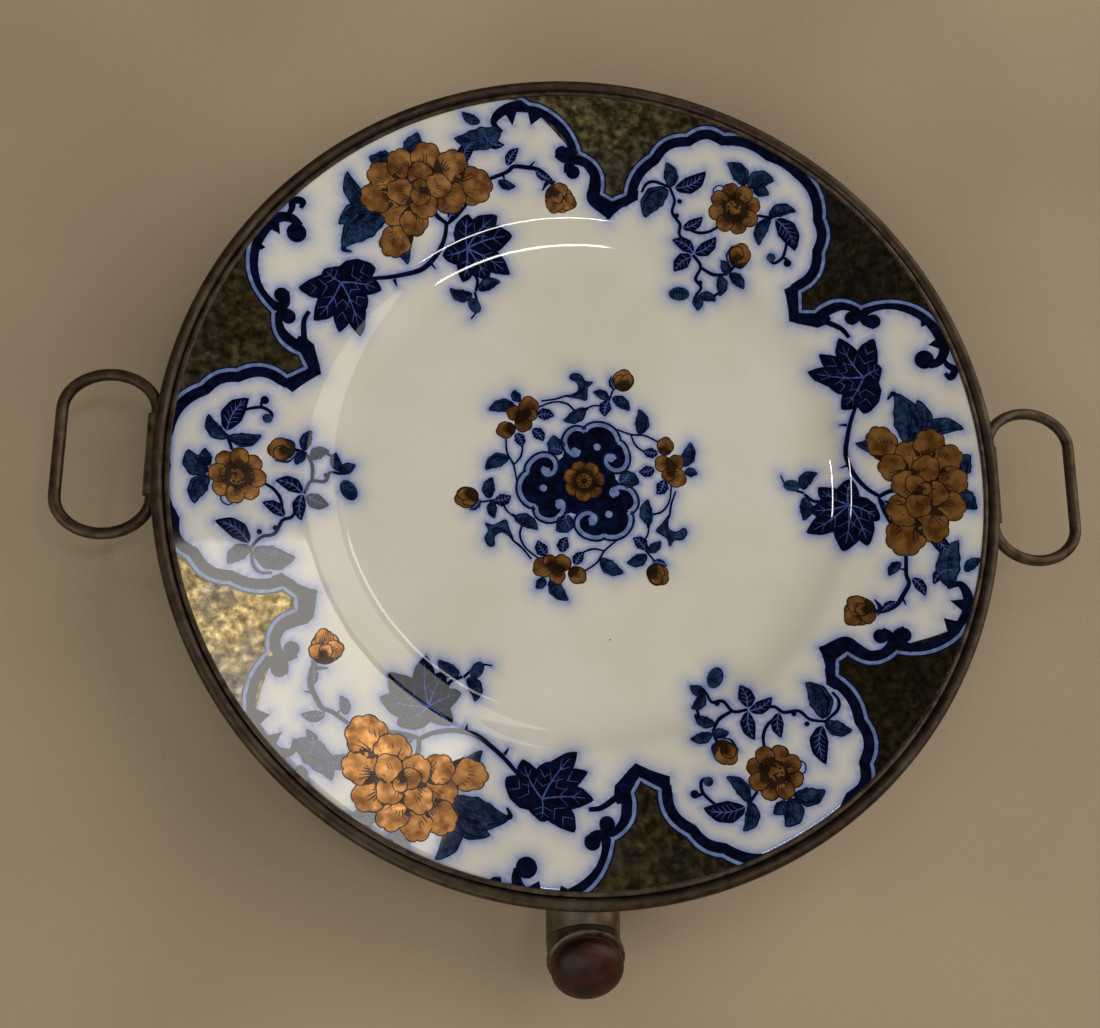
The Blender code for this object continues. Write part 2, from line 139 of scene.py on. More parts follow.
def patches(
    tree: bpy.types.NodeTree,
    size_mm: float,
    low: float,
    high: float,
    amount: float = 1.0,
    rest: float = 0.0,
    detail: float = 4.0,
) -> bpy.types.Node:
    """Soft irregular patches of about a real size, as wear, tarnish and firing leave.

    Args:
        tree: The material's node tree.
        size_mm: How far apart the patches lie.
        low: Noise level at which a patch begins.
        high: Noise level at which it is full.
        amount: The value inside a patch.
        rest: The value between patches.
        detail: Octaves of finer noise.

    Returns:
        The node that gives the value.
    """
    place = add(tree, "TexCoord", {}).outputs["Object"]
    cloud = add(tree, "TexNoise", {"Vector": place, "Scale": 1 / (size_mm * MM), "Detail": detail})
    return add(tree, "MapRange", {"Value": cloud, 1: low, 2: high, 3: rest, 4: amount})


class Finish:
    """A finish that paints one material; each kind fills in paint()."""

    name: str
    slot: str

    def paint(self, tree: bpy.types.NodeTree, shader: bpy.types.Node) -> None:
        """Adds the finish's nodes.

        Args:
            tree: The material's node tree.
            shader: Its Principled node.
        """
        raise NotImplementedError

    def material(self) -> bpy.types.Material:
        """Makes the finish's material once.

        Returns:
            The material.
        """
        made = bpy.data.materials.get("finish_" + self.name)
        if made is None:
            made = bpy.data.materials.new("finish_" + self.name)
            made.use_nodes = True
            self.paint(made.node_tree, made.node_tree.nodes["Principled BSDF"])
        return made


@dataclass(frozen=True)
class LeadGlaze(Finish):
    """Lead-glazed white earthenware: a cream body under a clear, slightly wavy, wet-looking glaze.

    The attribute "flow" says how much cobalt has bled into the glaze, a soft blue haze.
    """

    body: str = "#E3E0D6"
    cream: str = "#D9D5C6"
    haze: str = "#6C86C9"
    speck: str = "#4A4038"
    name: str = "lead_glazed_earthenware"
    slot: str = "glazed_earthenware"

    def paint(self, tree: bpy.types.NodeTree, shader: bpy.types.Node) -> None:
        """Body colour, bled cobalt, iron specks and the glaze's ripple.

        Args:
            tree: The material's node tree.
            shader: Its Principled node.
        """
        clouds = patches(tree, 45, 0.4, 0.7)
        tone = add(tree, "Mix", {0: clouds, 6: self.body, 7: self.cream}, data_type="RGBA")
        bled = add(tree, "Attribute", {}, attribute_name="flow").outputs["Fac"]
        uneven = patches(tree, 3, 0.2, 0.8, 1.15, 0.85)
        share = add(tree, "Math", {0: bled, 1: uneven}, operation="MULTIPLY")
        tone = add(tree, "Mix", {0: share, 6: tone, 7: self.haze}, data_type="RGBA")
        place = add(tree, "TexCoord", {}).outputs["Object"]
        cells = add(tree, "TexVoronoi", {"Vector": place, "Scale": 1 / (15 * MM)})
        near = cells.outputs["Distance"]
        specks = add(tree, "MapRange", {"Value": near, 1: 0.012, 2: 0.022, 3: 1.0, 4: 0.0})
        rare = add(tree, "Math", {0: specks, 1: patches(tree, 40, 0.55, 0.57)}, operation="MULTIPLY")
        tone = add(tree, "Mix", {0: rare, 6: tone, 7: self.speck}, data_type="RGBA")
        ripple = add(
            tree,
            "Bump",
            {"Height": patches(tree, 14, 0.2, 0.8, detail=1), "Distance": 0.02 * MM},
        )
        feed(tree, shader, {"Base Color": tone, "Coat Normal": ripple})
        feed(tree, shader, {"Roughness": 0.45, **WET_GLAZE})


@dataclass(frozen=True)
class Underglaze(Finish):
    """Cobalt under the same wet glaze: blue-black where the ink lies thick, paler where it thins."""

    thick: str
    thin: str
    name: str
    grain_mm: float = 2.2
    slot: str = "glazed_earthenware"

    def paint(self, tree: bpy.types.NodeTree, shader: bpy.types.Node) -> None:
        """Uneven ink below the glaze.

        Args:
            tree: The material's node tree.
            shader: Its Principled node.
        """
        ink = patches(tree, self.grain_mm, 0.4, 0.68)
        tone = add(tree, "Mix", {0: ink, 6: self.thick, 7: self.thin}, data_type="RGBA")
        ripple = add(
            tree,
            "Bump",
            {"Height": patches(tree, 14, 0.2, 0.8, detail=1), "Distance": 0.02 * MM},
        )
        feed(tree, shader, {"Base Color": tone, "Coat Normal": ripple})
        feed(tree, shader, {"Roughness": 0.5, **WET_GLAZE})


@dataclass(frozen=True)
class BronzeEnamel(Finish):
    """Iron enamel with a bronze lustre fired over it: brown-orange, and golden where light strikes."""

    light: str
    deep: str
    name: str
    metal: float = 0.62
    slot: str = "glazed_earthenware"

    def paint(self, tree: bpy.types.NodeTree, shader: bpy.types.Node) -> None:
        """Washed colour in soft patches under a thin metal film.

        Args:
            tree: The material's node tree.
            shader: Its Principled node.
        """
        wash = patches(tree, 4.5, 0.36, 0.64)
        tone = add(tree, "Mix", {0: wash, 6: self.light, 7: self.deep}, data_type="RGBA")
        tooth = add(tree, "Bump", {"Height": patches(tree, 1.2, 0.3, 0.7), "Distance": 0.003 * MM})
        rough = patches(tree, 3, 0.3, 0.7, 0.2, 0.1)
        feed(
            tree,
            shader,
            {"Base Color": tone, "Normal": tooth, "Roughness": rough, "Metallic": self.metal},
        )


@dataclass(frozen=True)
class GoldLustre(Finish):
    """Gold lustre over the glaze, worn and browned: a dark metal film that flares yellow in light."""

    bright: str = "#97875F"
    dull: str = "#63563D"
    tarnish: str = "#54555C"
    name: str = "gold_lustre"
    slot: str = "glazed_earthenware"

    def paint(self, tree: bpy.types.NodeTree, shader: bpy.types.Node) -> None:
        """Mottled film with blue-grey tarnish in clouds.

        Args:
            tree: The material's node tree.
            shader: Its Principled node.
        """
        mottle = patches(tree, 1.8, 0.36, 0.66, detail=6)
        tone = add(tree, "Mix", {0: mottle, 6: self.bright, 7: self.dull}, data_type="RGBA")
        clouds = patches(tree, 24, 0.48, 0.7, 0.8)
        tone = add(tree, "Mix", {0: clouds, 6: tone, 7: self.tarnish}, data_type="RGBA")
        pits = add(
            tree,
            "Bump",
            {"Height": patches(tree, 2, 0.3, 0.7, detail=6), "Distance": 0.004 * MM},
        )
        rough = patches(tree, 3, 0.3, 0.7, 0.2, 0.09)
        feed(tree, shader, {"Base Color": tone, "Normal": pits, "Roughness": rough, "Metallic": 1.0})


@dataclass(frozen=True)
class BrownedBrass(Finish):
    """Sheet brass gone brown with age: a dark film, rubbed paler on edges, with grey bloom."""

    film: str = "#33261E"
    deep: str = "#281E17"
    rubbed: str = "#7D654B"
    bloom: str = "#6A6858"
    bloom_share: float = 0.35
    dents_mm: float = 0.07
    name: str = "browned_brass"
    slot: str = "browned_brass"

    def paint(self, tree: bpy.types.NodeTree, shader: bpy.types.Node) -> None:
        """Patina in clouds, bloom, rubbed edges, scuffs and small dents.

        Args:
            tree: The material's node tree.
            shader: Its Principled node.
        """
        cloud = patches(tree, 9, 0.25, 0.78, detail=5)
        tone = add(tree, "Mix", {0: cloud, 6: self.deep, 7: self.film}, data_type="RGBA")
        bloom = patches(tree, 20, 0.52, 0.7, self.bloom_share, detail=6)
        tone = add(tree, "Mix", {0: bloom, 6: tone, 7: self.bloom}, data_type="RGBA")
        edge = add(tree, "NewGeometry", {}).outputs["Pointiness"]
        high = add(tree, "MapRange", {"Value": edge, 1: 0.505, 2: 0.56})
        worn = add(tree, "Math", {0: high, 1: patches(tree, 4, 0.35, 0.6, 0.8)}, operation="MULTIPLY")
        tone = add(tree, "Mix", {0: worn, 6: tone, 7: self.rubbed}, data_type="RGBA")
        scuffs = patches(tree, 1.5, 0.62, 0.8, 0.3, detail=6)
        tone = add(tree, "Mix", {0: scuffs, 6: tone, 7: self.rubbed}, data_type="RGBA")
        waves, grain = patches(tree, 8, 0.2, 0.8, detail=2), patches(tree, 0.9, 0.3, 0.7, 0.3)
        height = add(tree, "Math", {0: waves, 1: grain})
        dents = add(tree, "Bump", {"Height": height, "Distance": self.dents_mm * MM})
        rough = patches(tree, 5, 0.3, 0.7, 0.62, 0.34, detail=5)
        feed(tree, shader, {"Base Color": tone, "Normal": dents, "Roughness": rough, "Metallic": 0.7})


@dataclass(frozen=True)
class Vulcanite(Finish):
    """Turned hard rubber gone red-brown: dark, handled to a soft gloss, with small pits."""

    dark: str = "#22100A"
    red: str = "#432014"
    name: str = "vulcanite"
    slot: str = "vulcanite"

    def paint(self, tree: bpy.types.NodeTree, shader: bpy.types.Node) -> None:
        """Faded patches and small pits under a handled polish.

        Args:
            tree: The material's node tree.
            shader: Its Principled node.
        """
        faded = patches(tree, 6, 0.4, 0.66, detail=5)
        tone = add(tree, "Mix", {0: faded, 6: self.dark, 7: self.red}, data_type="RGBA")
        pits = add(tree, "Bump", {"Height": patches(tree, 0.8, 0.3, 0.7), "Distance": 0.02 * MM})
        rough = patches(tree, 2.5, 0.3, 0.7, 0.5, 0.36)
        feed(tree, shader, {"Base Color": tone, "Normal": pits, "Roughness": rough})
        feed(tree, shader, {"Specular IOR Level": 0.25})


@dataclass(frozen=True)
class Plain(Finish):
    """A dull two-tone material for hidden pieces: putty, leather, tinned sheet and iron."""

    name: str
    slot: str
    light: str
    dark: str
    rough: float
    metal: float = 0.0
    grain_mm: float = 1.5

    def paint(self, tree: bpy.types.NodeTree, shader: bpy.types.Node) -> None:
        """Two tones in grain-sized blobs with a matching bump.

        Args:
            tree: The material's node tree.
            shader: Its Principled node.
        """
        grain = patches(tree, self.grain_mm, 0.35, 0.65, detail=5)
        tone = add(tree, "Mix", {0: grain, 6: self.light, 7: self.dark}, data_type="RGBA")
        tooth = add(tree, "Bump", {"Height": grain, "Distance": 0.08 * MM})
        feed(tree, shader, {"Base Color": tone, "Normal": tooth})
        feed(tree, shader, {"Roughness": self.rough, "Metallic": self.metal})


@dataclass(frozen=True)
class BackdropCloth(Finish):
    """Pale warm cotton backdrop: matt and even, with a faint tooth and soft rises."""

    light: str = "#B3A287"
    dark: str = "#A3917A"
    name: str = "backdrop_cloth"

    def paint(self, tree: bpy.types.NodeTree, shader: bpy.types.Node) -> None:
        """Broad soft clouds, a fine tooth and slow rises.

        Args:
            tree: The material's node tree.
            shader: Its Principled node.
        """
        clouds = patches(tree, 180, 0.35, 0.65, detail=2)
        tone = add(tree, "Mix", {0: clouds, 6: self.light, 7: self.dark}, data_type="RGBA")
        tooth = add(tree, "Bump", {"Height": patches(tree, 1.2, 0.3, 0.7), "Distance": 0.06 * MM})
        swell = patches(tree, 150, 0.2, 0.8, detail=1)
        rise = add(tree, "Bump", {"Height": swell, "Distance": 5 * MM, "Normal": tooth})
        feed(tree, shader, {"Base Color": tone, "Normal": rise, "Roughness": 0.9})


BRASS = BrownedBrass()
RUBBED_BRASS = BrownedBrass(film="#2E231B", rubbed="#5E4E3C", bloom="#524C41", name="rubbed_brass")
SPOUT_BRASS = BrownedBrass(
    film="#3F362C", bloom="#6A695C", bloom_share=0.7, dents_mm=0.12, name="weathered_brass"
)


# ------------------------------------------------------------------------------- meshes


def finish_piece(
    name: str,
    bm: bmesh.types.BMesh,
    finish: Finish,
    body: str,
    replaces: Sequence[str] = (),
    sharp_deg: float = 40.0,
) -> bpy.types.Object:
    """Turns a bmesh in millimetres into a finished piece in metres that rides on a body.

    Args:
        name: The piece's name.
        bm: The bmesh, which is freed.
        finish: Its finish.
        body: The body it rides on.
        replaces: CAD nodes that it stands for.
        sharp_deg: Edges sharper than this stay crisp.

    Returns:
        The new object.
    """
    bmesh.ops.remove_doubles(bm, verts=bm.verts, dist=1e-3)
    bmesh.ops.recalc_face_normals(bm, faces=bm.faces)
    bmesh.ops.scale(bm, verts=bm.verts, vec=(MM, MM, MM))
    mesh = bpy.data.meshes.new(name)
    bm.to_mesh(mesh)
    bm.free()
    mesh.shade_smooth()
    mesh.set_sharp_from_angle(angle=math.radians(sharp_deg))
    mesh.materials.append(finish.material())
    made = bpy.data.objects.new(name, mesh)
    bpy.context.scene.collection.objects.link(made)
    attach(made, body)
    if replaces:
        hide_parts(*replaces)
    LOG.info("%s: %d faces", name, len(mesh.polygons))
    return made


def turned(outline: Sequence[Point], steps: int) -> bmesh.types.BMesh:
    """Turns a closed outline of (radius, height) about Z.

    Args:
        outline: The section's points in order.
        steps: Sides of the full turn.

    Returns:
        The turned bmesh.
    """
    bm = bmesh.new()
    verts = [bm.verts.new((r, 0, z)) for r, z in outline]
    pairs = [p for p in zip(verts, verts[1:] + verts[:1]) if max(p[0].co.x, p[1].co.x) > 1e-6]
    edges = [bm.edges.new(pair) for pair in pairs]
    bmesh.ops.spin(
        bm, geom=verts + edges, cent=(0, 0, 0), axis=(0, 0, 1), angle=TURN, steps=steps, use_merge=True
    )
    return bm


def arc(centre: Point, radius: float, start: float, end: float, steps: int) -> list[Point]:
    """Points on an arc.

    Args:
        centre: The arc's centre.
        radius: Its radius.
        start: First angle in degrees.
        end: Last angle in degrees.
        steps: Number of steps.

    Returns:
        The points.
    """
    angles = np.radians(np.linspace(start, end, steps + 1))
    return [(centre[0] + radius * math.cos(a), centre[1] + radius * math.sin(a)) for a in angles]


def curved(points: Sequence[Sequence[float]], steps: int = 6) -> np.ndarray:
    """A smooth open curve through given points.

    Args:
        points: The points to pass through.
        steps: Steps between two points.

    Returns:
        The curve's points, one row each.
    """
    p = np.array(points, float)
    q = np.vstack([2 * p[:1] - p[1:2], p, 2 * p[-1:] - p[-2:-1]])
    t = np.linspace(0, 1, steps, endpoint=False)[:, None]
    runs = [
        0.5 * (2 * b + (c - a) * t + (2 * a - 5 * b + 4 * c - d) * t**2 + (3 * b - a - 3 * c + d) * t**3)
        for a, b, c, d in zip(q, q[1:], q[2:], q[3:])
    ]
    return np.vstack([*runs, p[-1:]])


def normals_of(path: np.ndarray) -> np.ndarray:
    """Unit vectors to the left of an open flat path.

    Args:
        path: The path's points.

    Returns:
        One vector a point.
    """
    along = np.gradient(path, axis=0)
    along /= np.maximum(np.linalg.norm(along, axis=1, keepdims=True), 1e-9)
    return np.column_stack([-along[:, 1], along[:, 0]])


def bulging(stops: Sequence[tuple[float, float, float]], step: float = 1.0) -> np.ndarray:
    """A path of arcs that bulge to its left.

    Args:
        stops: (x, y, bulge), where bulge is the rise over the chord of the arc that ends there.
        step: Spacing of the points.

    Returns:
        The path's points.
    """
    path = [np.array(stops[0][:2])]
    for (x0, y0, _), (x1, y1, bulge) in zip(stops, stops[1:]):
        a, b = np.array((x0, y0)), np.array((x1, y1))
        chord = b - a
        left = np.array((-chord[1], chord[0]))
        count = max(2, round(float(np.linalg.norm(chord)) / step))
        for t in np.linspace(0, 1, count + 1)[1:]:
            path.append(a + chord * t + left * bulge * 4 * t * (1 - t))
    return np.array(path)


# ------------------------------------------------------------------------------- the print


class Ink(Enum):
    """The print's layers with their height over the glaze in millimetres and their finish."""

    LUSTRE = (0.030, GoldLustre())
    COBALT = (0.045, Underglaze("#020413", "#071236", "cobalt_print"))
    WASH = (0.052, Underglaze("#0B1B36", "#2C4366", "cobalt_wash"))
    LINE = (0.060, Underglaze("#6074A6", "#8294C0", "cobalt_line"))
    KEYLINE = (0.092, Underglaze("#050B26", "#12224A", "cobalt_keyline"))
    VEIN = (0.094, Underglaze("#384D8E", "#5469A8", "cobalt_vein"))
    ENAMEL = (0.100, BronzeEnamel("#BC864A", "#744A24", "bronzed_orange_enamel"))
    SHADE = (0.101, BronzeEnamel("#3A2412", "#24160C", "umber_enamel", 0.3))

    @property
    def height(self) -> float:
        """Height over the glaze in millimetres."""
        return self.value[0]

    @property
    def finish(self) -> Finish:
        """The layer's finish."""
        return self.value[1]


class LeafKind(Enum):
    """How a leaf is printed: solid with pale veins, or washed with dark hatching."""

    SOLID = "solid"
    WASHED = "washed"


@dataclass(frozen=True)
class Leaf:
    """A leaf from its base to its tip.

    Attributes:
        base: Where it leaves the stem.
        tip: Its point.
        width: Its greatest width.
        bend: Sideways bow over its length, to the left when positive.
        kind: How it is printed.
    """

    base: Point
    tip: Point
    width: float
    bend: float = 0.1
    kind: LeafKind = LeafKind.WASHED


@dataclass
class Pen:
    """Collects the print's shapes on the flat, in millimetres about the print's own centre."""

    shapes: dict[Ink, Shapes] = field(default_factory=dict)

    def lay(self, ink: Ink, faces: list[np.ndarray], level: float = 0) -> None:
        """Adds one shape.

        Args:
            ink: Its layer.
            faces: Its faces as rows of points.
            level: Steps of two microns above the layer, so that no two shapes lie in one plane.
        """
        laid = self.shapes.setdefault(ink, [])
        apart = 0.0 if ink in (Ink.ENAMEL, Ink.SHADE) else 0.0005 * (len(laid) % 12)
        laid.append((faces, ink.height + 0.002 * level + apart))

    def fill(self, ink: Ink, outline: np.ndarray | Sequence[Point], level: float = 0) -> None:
        """Fills a closed outline with an ink.

        Args:
            ink: Its layer.
            outline: The outline's points.
            level: Steps above the layer.
        """
        self.lay(ink, [np.array(outline, float)], level)

    def stroke(
        self,
        ink: Ink,
        points: Sequence[Point] | np.ndarray,
        widths: float | Sequence[float],
        level: float = 0,
        steps: int = 6,
    ) -> None:
        """Draws a smooth stroke whose width runs through the given widths.

        Args:
            ink: Its layer.
            points: Points that it passes through.
            widths: One width, or widths spaced evenly along it.
            level: Steps above the layer.
            steps: Steps between two points; 0 takes the points as they are.
        """
        path = curved(points, steps) if steps else np.array(points, float)
        spread = np.atleast_1d(np.array(widths, float))
        run = np.linspace(0, 1, len(path))
        half = np.interp(run, np.linspace(0, 1, len(spread)), spread)[:, None] / 2
        left = normals_of(path) * half
        near, far = path - left, path + left
        self.lay(ink, [np.array(quad) for quad in zip(near, near[1:], far[1:], far)], level)

    def ball(self, ink: Ink, centre: Point, radius: float, level: float = 0, stretch: float = 1.0) -> None:
        """Draws a round or oval dot.

        Args:
            ink: Its layer.
            centre: Its middle.
            radius: Its radius.
            level: Steps above the layer.
            stretch: Its width over its height.
        """
        ring = np.array(arc((0, 0), radius, 0, 348, 29)) * (stretch, 1)
        self.fill(ink, ring + centre, level)

    def leaf(self, leaf: Leaf) -> None:
        """Draws a leaf with a pointed tip, midrib and side veins.

        Args:
            leaf: The leaf.
        """
        base, tip = np.array(leaf.base), np.array(leaf.tip)
        along = tip - base
        side = np.array((-along[1], along[0]))
        t = np.linspace(0, 1, 17)
        spine = base + np.outer(t, along) + np.outer(4 * t * (1 - t) * leaf.bend, side)
        swell = leaf.width / 2 * np.sin(math.pi * t**0.85) ** 0.8 * (1 + 0.07 * np.sin(t * 21))
        left = normals_of(spine)
        edges = [spine + left * swell[:, None], spine - left * swell[:, None]]
        outline = np.vstack([edges[0], edges[1][-2:0:-1]])
        solid = leaf.kind is LeafKind.SOLID
        self.fill(Ink.COBALT if solid else Ink.WASH, outline)
        vein = Ink.VEIN if solid else Ink.KEYLINE
        self.stroke(vein, spine[:15], (0.4, 0.32, 0.12), steps=0)
        length = float(np.linalg.norm(along))
        for k in range(3, 13, 2 if length > 9 else 3):
            for edge in edges:
                reach = spine[k] + (edge[min(k + 3, 16)] - spine[k]) * 0.72
                halfway = (spine[k] + reach) / 2 + along * 0.015
                self.stroke(vein, [spine[k], halfway, reach], (0.24, 0.1), steps=3)
        if not solid:
            self.stroke(Ink.KEYLINE, edges[0], (0.5, 0.3), steps=0)
            self.stroke(Ink.KEYLINE, edges[1], (0.5, 0.45), steps=0)
            shade = [spine[:15] * 0.72 + edges[1][:15] * 0.28, spine[:15] * 0.4 + edges[1][:15] * 0.6]
            self.stroke(Ink.COBALT, shade[1], (0.2, leaf.width * 0.17, 0.1), level=6, steps=0)
            self.stroke(Ink.KEYLINE, shade[0], (0.2, 0.16), steps=0)

    def petal(self, centre: Point, size: Point, toward: float, level: int, scallops: int = 4) -> None:
        """Draws an enamelled petal with a frilled edge, a shaded root and hatching.

        Args:
            centre: Its middle.
            size: Half its length along its direction and half its width.
            toward: The direction in degrees that it opens to.
            level: How far up it lies on its flower.
            scallops: Frills on its outer edge.
        """
        t = np.radians(np.arange(0, 360, 6.0))
        swing = (t + math.pi) % TURN - math.pi
        lobes = np.abs(np.sin(scallops * (swing + 2) * math.pi / 4)) ** 0.55
        frill = np.where(np.abs(swing) < 2, 0.86 + 0.14 * lobes, 0.9)
        turn = Matrix.Rotation(math.radians(toward), 2)
        turned_by = np.array([list(turn[0]), list(turn[1])]).T

        def place(x: np.ndarray, y: np.ndarray) -> np.ndarray:
            """Puts points of the petal's own square onto the print."""
            return np.column_stack([x * size[0], y * size[1]]) @ turned_by + centre

        ring = place(np.cos(t) * frill, np.sin(t) * frill)
        self.fill(Ink.ENAMEL, ring, 2 * level)
        root = np.radians(np.arange(105, 256, 12.0))
        inner = place(np.cos(root) * 0.42 - 0.08, np.sin(root) * 0.6)
        outer = place(np.cos(root) * 0.96, np.sin(root) * 0.96)
        self.fill(Ink.SHADE, np.vstack([outer, inner[::-1]]), 2 * level)
        self.stroke(Ink.SHADE, np.vstack([ring, ring[:1]]), (0.36, 0.36), 2 * level + 0.4, steps=0)
        for k, spoke in enumerate(np.arange(-0.72, 0.73, 0.24)):
            start, end = -0.55, 0.42 - 0.5 * abs(spoke)
            across = np.array([spoke * 0.45, spoke * 0.66, spoke])
            line = place(np.array([start, (start + end) / 2, end]), across)
            self.stroke(Ink.SHADE, line, (0.62, 0.14), 2 * level + 0.7 + 0.1 * k, steps=3)

    def rosette(self, centre: Point, radius: float, petals: int, heart: float, spin: float = 0.0) -> None:
        """Draws a round flower of petals about a shaded heart.

        Args:
            centre: Its middle.
            radius: Its radius.
            petals: How many petals.
            heart: Radius of the heart.
            spin: Turn of the first petal in degrees.
        """
        for k in range(petals):
            toward = spin + 360 * k / petals
            angle = math.radians(toward)
            middle = 0.62 * radius
            spot = (centre[0] + middle * math.cos(angle), centre[1] + middle * math.sin(angle))
            self.petal(spot, (0.4 * radius, 0.33 * radius * 8 / petals), toward, k % 2, 2)
        self.ball(Ink.SHADE, centre, heart, 4)
        self.ball(Ink.ENAMEL, centre, heart * 0.72, 5)
        self.ball(Ink.SHADE, centre, heart * 0.34, 5)
        for k in range(9):
            angle = TURN * k / 9
            dot = (
                centre[0] + heart * 0.53 * math.cos(angle),
                centre[1] + heart * 0.53 * math.sin(angle),
            )
            self.ball(Ink.SHADE, dot, heart * 0.11, 6)


@dataclass(frozen=True)
class Frame:
    """The scrolled band that divides the white panels from the lustre ground.

    Attributes:
        dome: The small panel's lobed top from one notch to the other, with each arc's bulge.
        brow: The large panel's upper end, out to the rim.
        sill: The large panel's lower end, out to the rim.
        band: Width of the solid band.
        rim: Radius that the ground runs out to.
    """

    dome: tuple[tuple[float, float, float], ...] = (
        (8.9, 94.3, 0), (13.2, 96.3, 0), (21.2, 109.7, 0.12), (33.0, 116.8, 0.16), (45.5, 117.5, 0.19),
        (61.5, 112.5, 0.11), (71.5, 106.5, 0.07), (78.9, 90.0, 0.13), (78.6, 78.6, 0.13),
        (70.7, 65.4, 0.17), (70.8, 58.8, 0),
    )
    brow: tuple[tuple[float, float, float], ...] = (
        (70.8, 58.8, 0), (75.5, 58.8, 0), (90.5, 60.2, 0.2), (117.3, 51.3, 0.2), (119.4, 47.7, 0.05),
        (126, 42, 0),
    )
    sill: tuple[tuple[float, float, float], ...] = (
        (77.2, -54.9, 0), (80.5, -52.7, 0), (95.5, -52.7, -0.22), (115.1, -47.7, -0.13), (117, -45, 0),
        (126, -40, 0),
    )
    band: float = 3.3
    rim: float = 129.0

    def draw(self, pen: Pen) -> None:
        """Draws the lustre ground, the pale line, its keyline and the solid band.

        Args:
            pen: The pen to draw with.
        """
        dome, brow, sill = bulging(self.dome), bulging(self.brow), bulging(self.sill)
        notch = math.degrees(math.atan2(self.dome[0][1], self.dome[0][0]))
        upper_end = math.degrees(math.atan2(self.brow[-1][1], self.brow[-1][0]))
        lower_end = math.degrees(math.atan2(self.sill[-1][1], self.sill[-1][0]))
        pen.fill(Ink.LUSTRE, np.vstack([dome, brow[1:], arc((0, 0), self.rim, upper_end, notch, 16)]))
        pen.fill(Ink.LUSTRE, np.vstack([sill, arc((0, 0), self.rim, lower_end, notch - 120, 8)]))
        for path, side in ((np.vstack([dome, brow[1:-3]]), 1), (sill[:-3], -1)):
            left = normals_of(path)
            pen.stroke(Ink.KEYLINE, path + left * 0.75 * side, 0.5, steps=0)
            pen.stroke(Ink.LINE, path, 1.1, steps=0)
        inward = normals_of(dome)
        inner = dome - inward * (self.band + 0.5)
        outer = dome - inward * 0.4
        quads = [np.array(q) for q in zip(inner, inner[1:], outer[1:], outer)]
        pen.lay(Ink.COBALT, quads[3:-7])
        pen.fill(
            Ink.COBALT,
            [
                (7.7, 87.6), (12, 91.6), (17.4, 94.6), (17.6, 97.6), (15.4, 99.6), (13.2, 96.3),
                (8.9, 94.3), (5.4, 96.1), (1.6, 94.4), (4, 91.3),
            ],
        )
        pen.fill(
            Ink.COBALT,
            [
                (65.6, 66.2), (66.8, 60), (67.2, 55.6), (70, 54.7), (76.3, 53.3), (79, 54.5),
                (80.8, 56.4), (78, 60.4), (75.5, 58.8), (70.8, 58.8), (70.7, 65.4), (73.4, 68),
                (70.6, 69.6), (68, 67.4),
            ],
        )
        self.draw_scrolls(pen)

    def draw_scrolls(self, pen: Pen) -> None:
        """Draws the ball-ended scrolls at both ends of the large panel.

        Args:
            pen: The pen to draw with.
        """
        ink = Ink.COBALT
        pen.stroke(
            ink,
            [(76, 56.2), (79.5, 59), (84, 60.7), (88, 59.9), (89.6, 57.5), (88.2, 55.6)],
            (3.4, 3.2, 2.6, 2.2),
            1,
        )
        pen.ball(ink, (87.4, 56.6), 2.3, 2)
        pen.stroke(
            ink,
            [
                (94.8, 53.6), (91.6, 55.4), (91.4, 58.0), (94.5, 60.2), (100, 61), (105.5, 59.7),
                (110.3, 57), (113.6, 53.3), (115.8, 49), (116.6, 45), (114.8, 41.6), (111.6, 40.4),
            ],
            (2, 3, 3.2, 3.6, 3.6, 3.2, 2.6),
            1,
        )
        pen.ball(ink, (94.3, 55.4), 2.4, 2)
        pen.ball(ink, (110.2, 42.3), 3.1, 2)
        pen.fill(ink, [(109.4, 57.5), (109.6, 53.2), (113, 54.5)], 2)
        pen.fill(ink, [(114, 49), (111.6, 47.2), (115.6, 45.6)], 2)
        pen.stroke(
            ink,
            [(116, 43), (117.4, 40.4), (119.6, 38.6), (118.2, 36), (116.6, 37.6)],
            (1, 2.2, 2.4, 1.2),
            2,
        )
        pen.stroke(ink, [(119.4, 46), (121, 41), (121.6, 37.5)], (2.2, 1.6, 0.6), 2)
        pen.stroke(
            ink,
            [
                (72.3, -52.1), (77, -50.2), (80.6, -49.6), (83, -51.6), (87, -53.8), (91.5, -53),
                (94.2, -50), (93.6, -47.4), (91.4, -46),
            ],
            (2.4, 4.2, 4.4, 3.2, 3, 2.6),
            1,
        )
        pen.ball(ink, (91, -47.6), 2.3, 2)
        pen.stroke(
            ink,
            [
                (98.6, -45.4), (96, -47), (96.4, -49.6), (99.5, -51.6), (103.5, -51.7), (108, -50.6),
                (112.5, -48.2), (116, -44.6), (118.2, -40), (118.4, -35), (116.4, -31.6),
                (112.6, -32.8),
            ],
            (2, 3, 3.2, 3.8, 3.8, 3, 1),
            1,
        )
        pen.ball(ink, (98, -47.4), 2.4, 2)
        pen.fill(ink, [(111.4, -47), (110.6, -42.3), (115.4, -43.6)], 2)
        pen.fill(ink, [(116.8, -40.6), (113, -36.8), (117.6, -36.4)], 2)


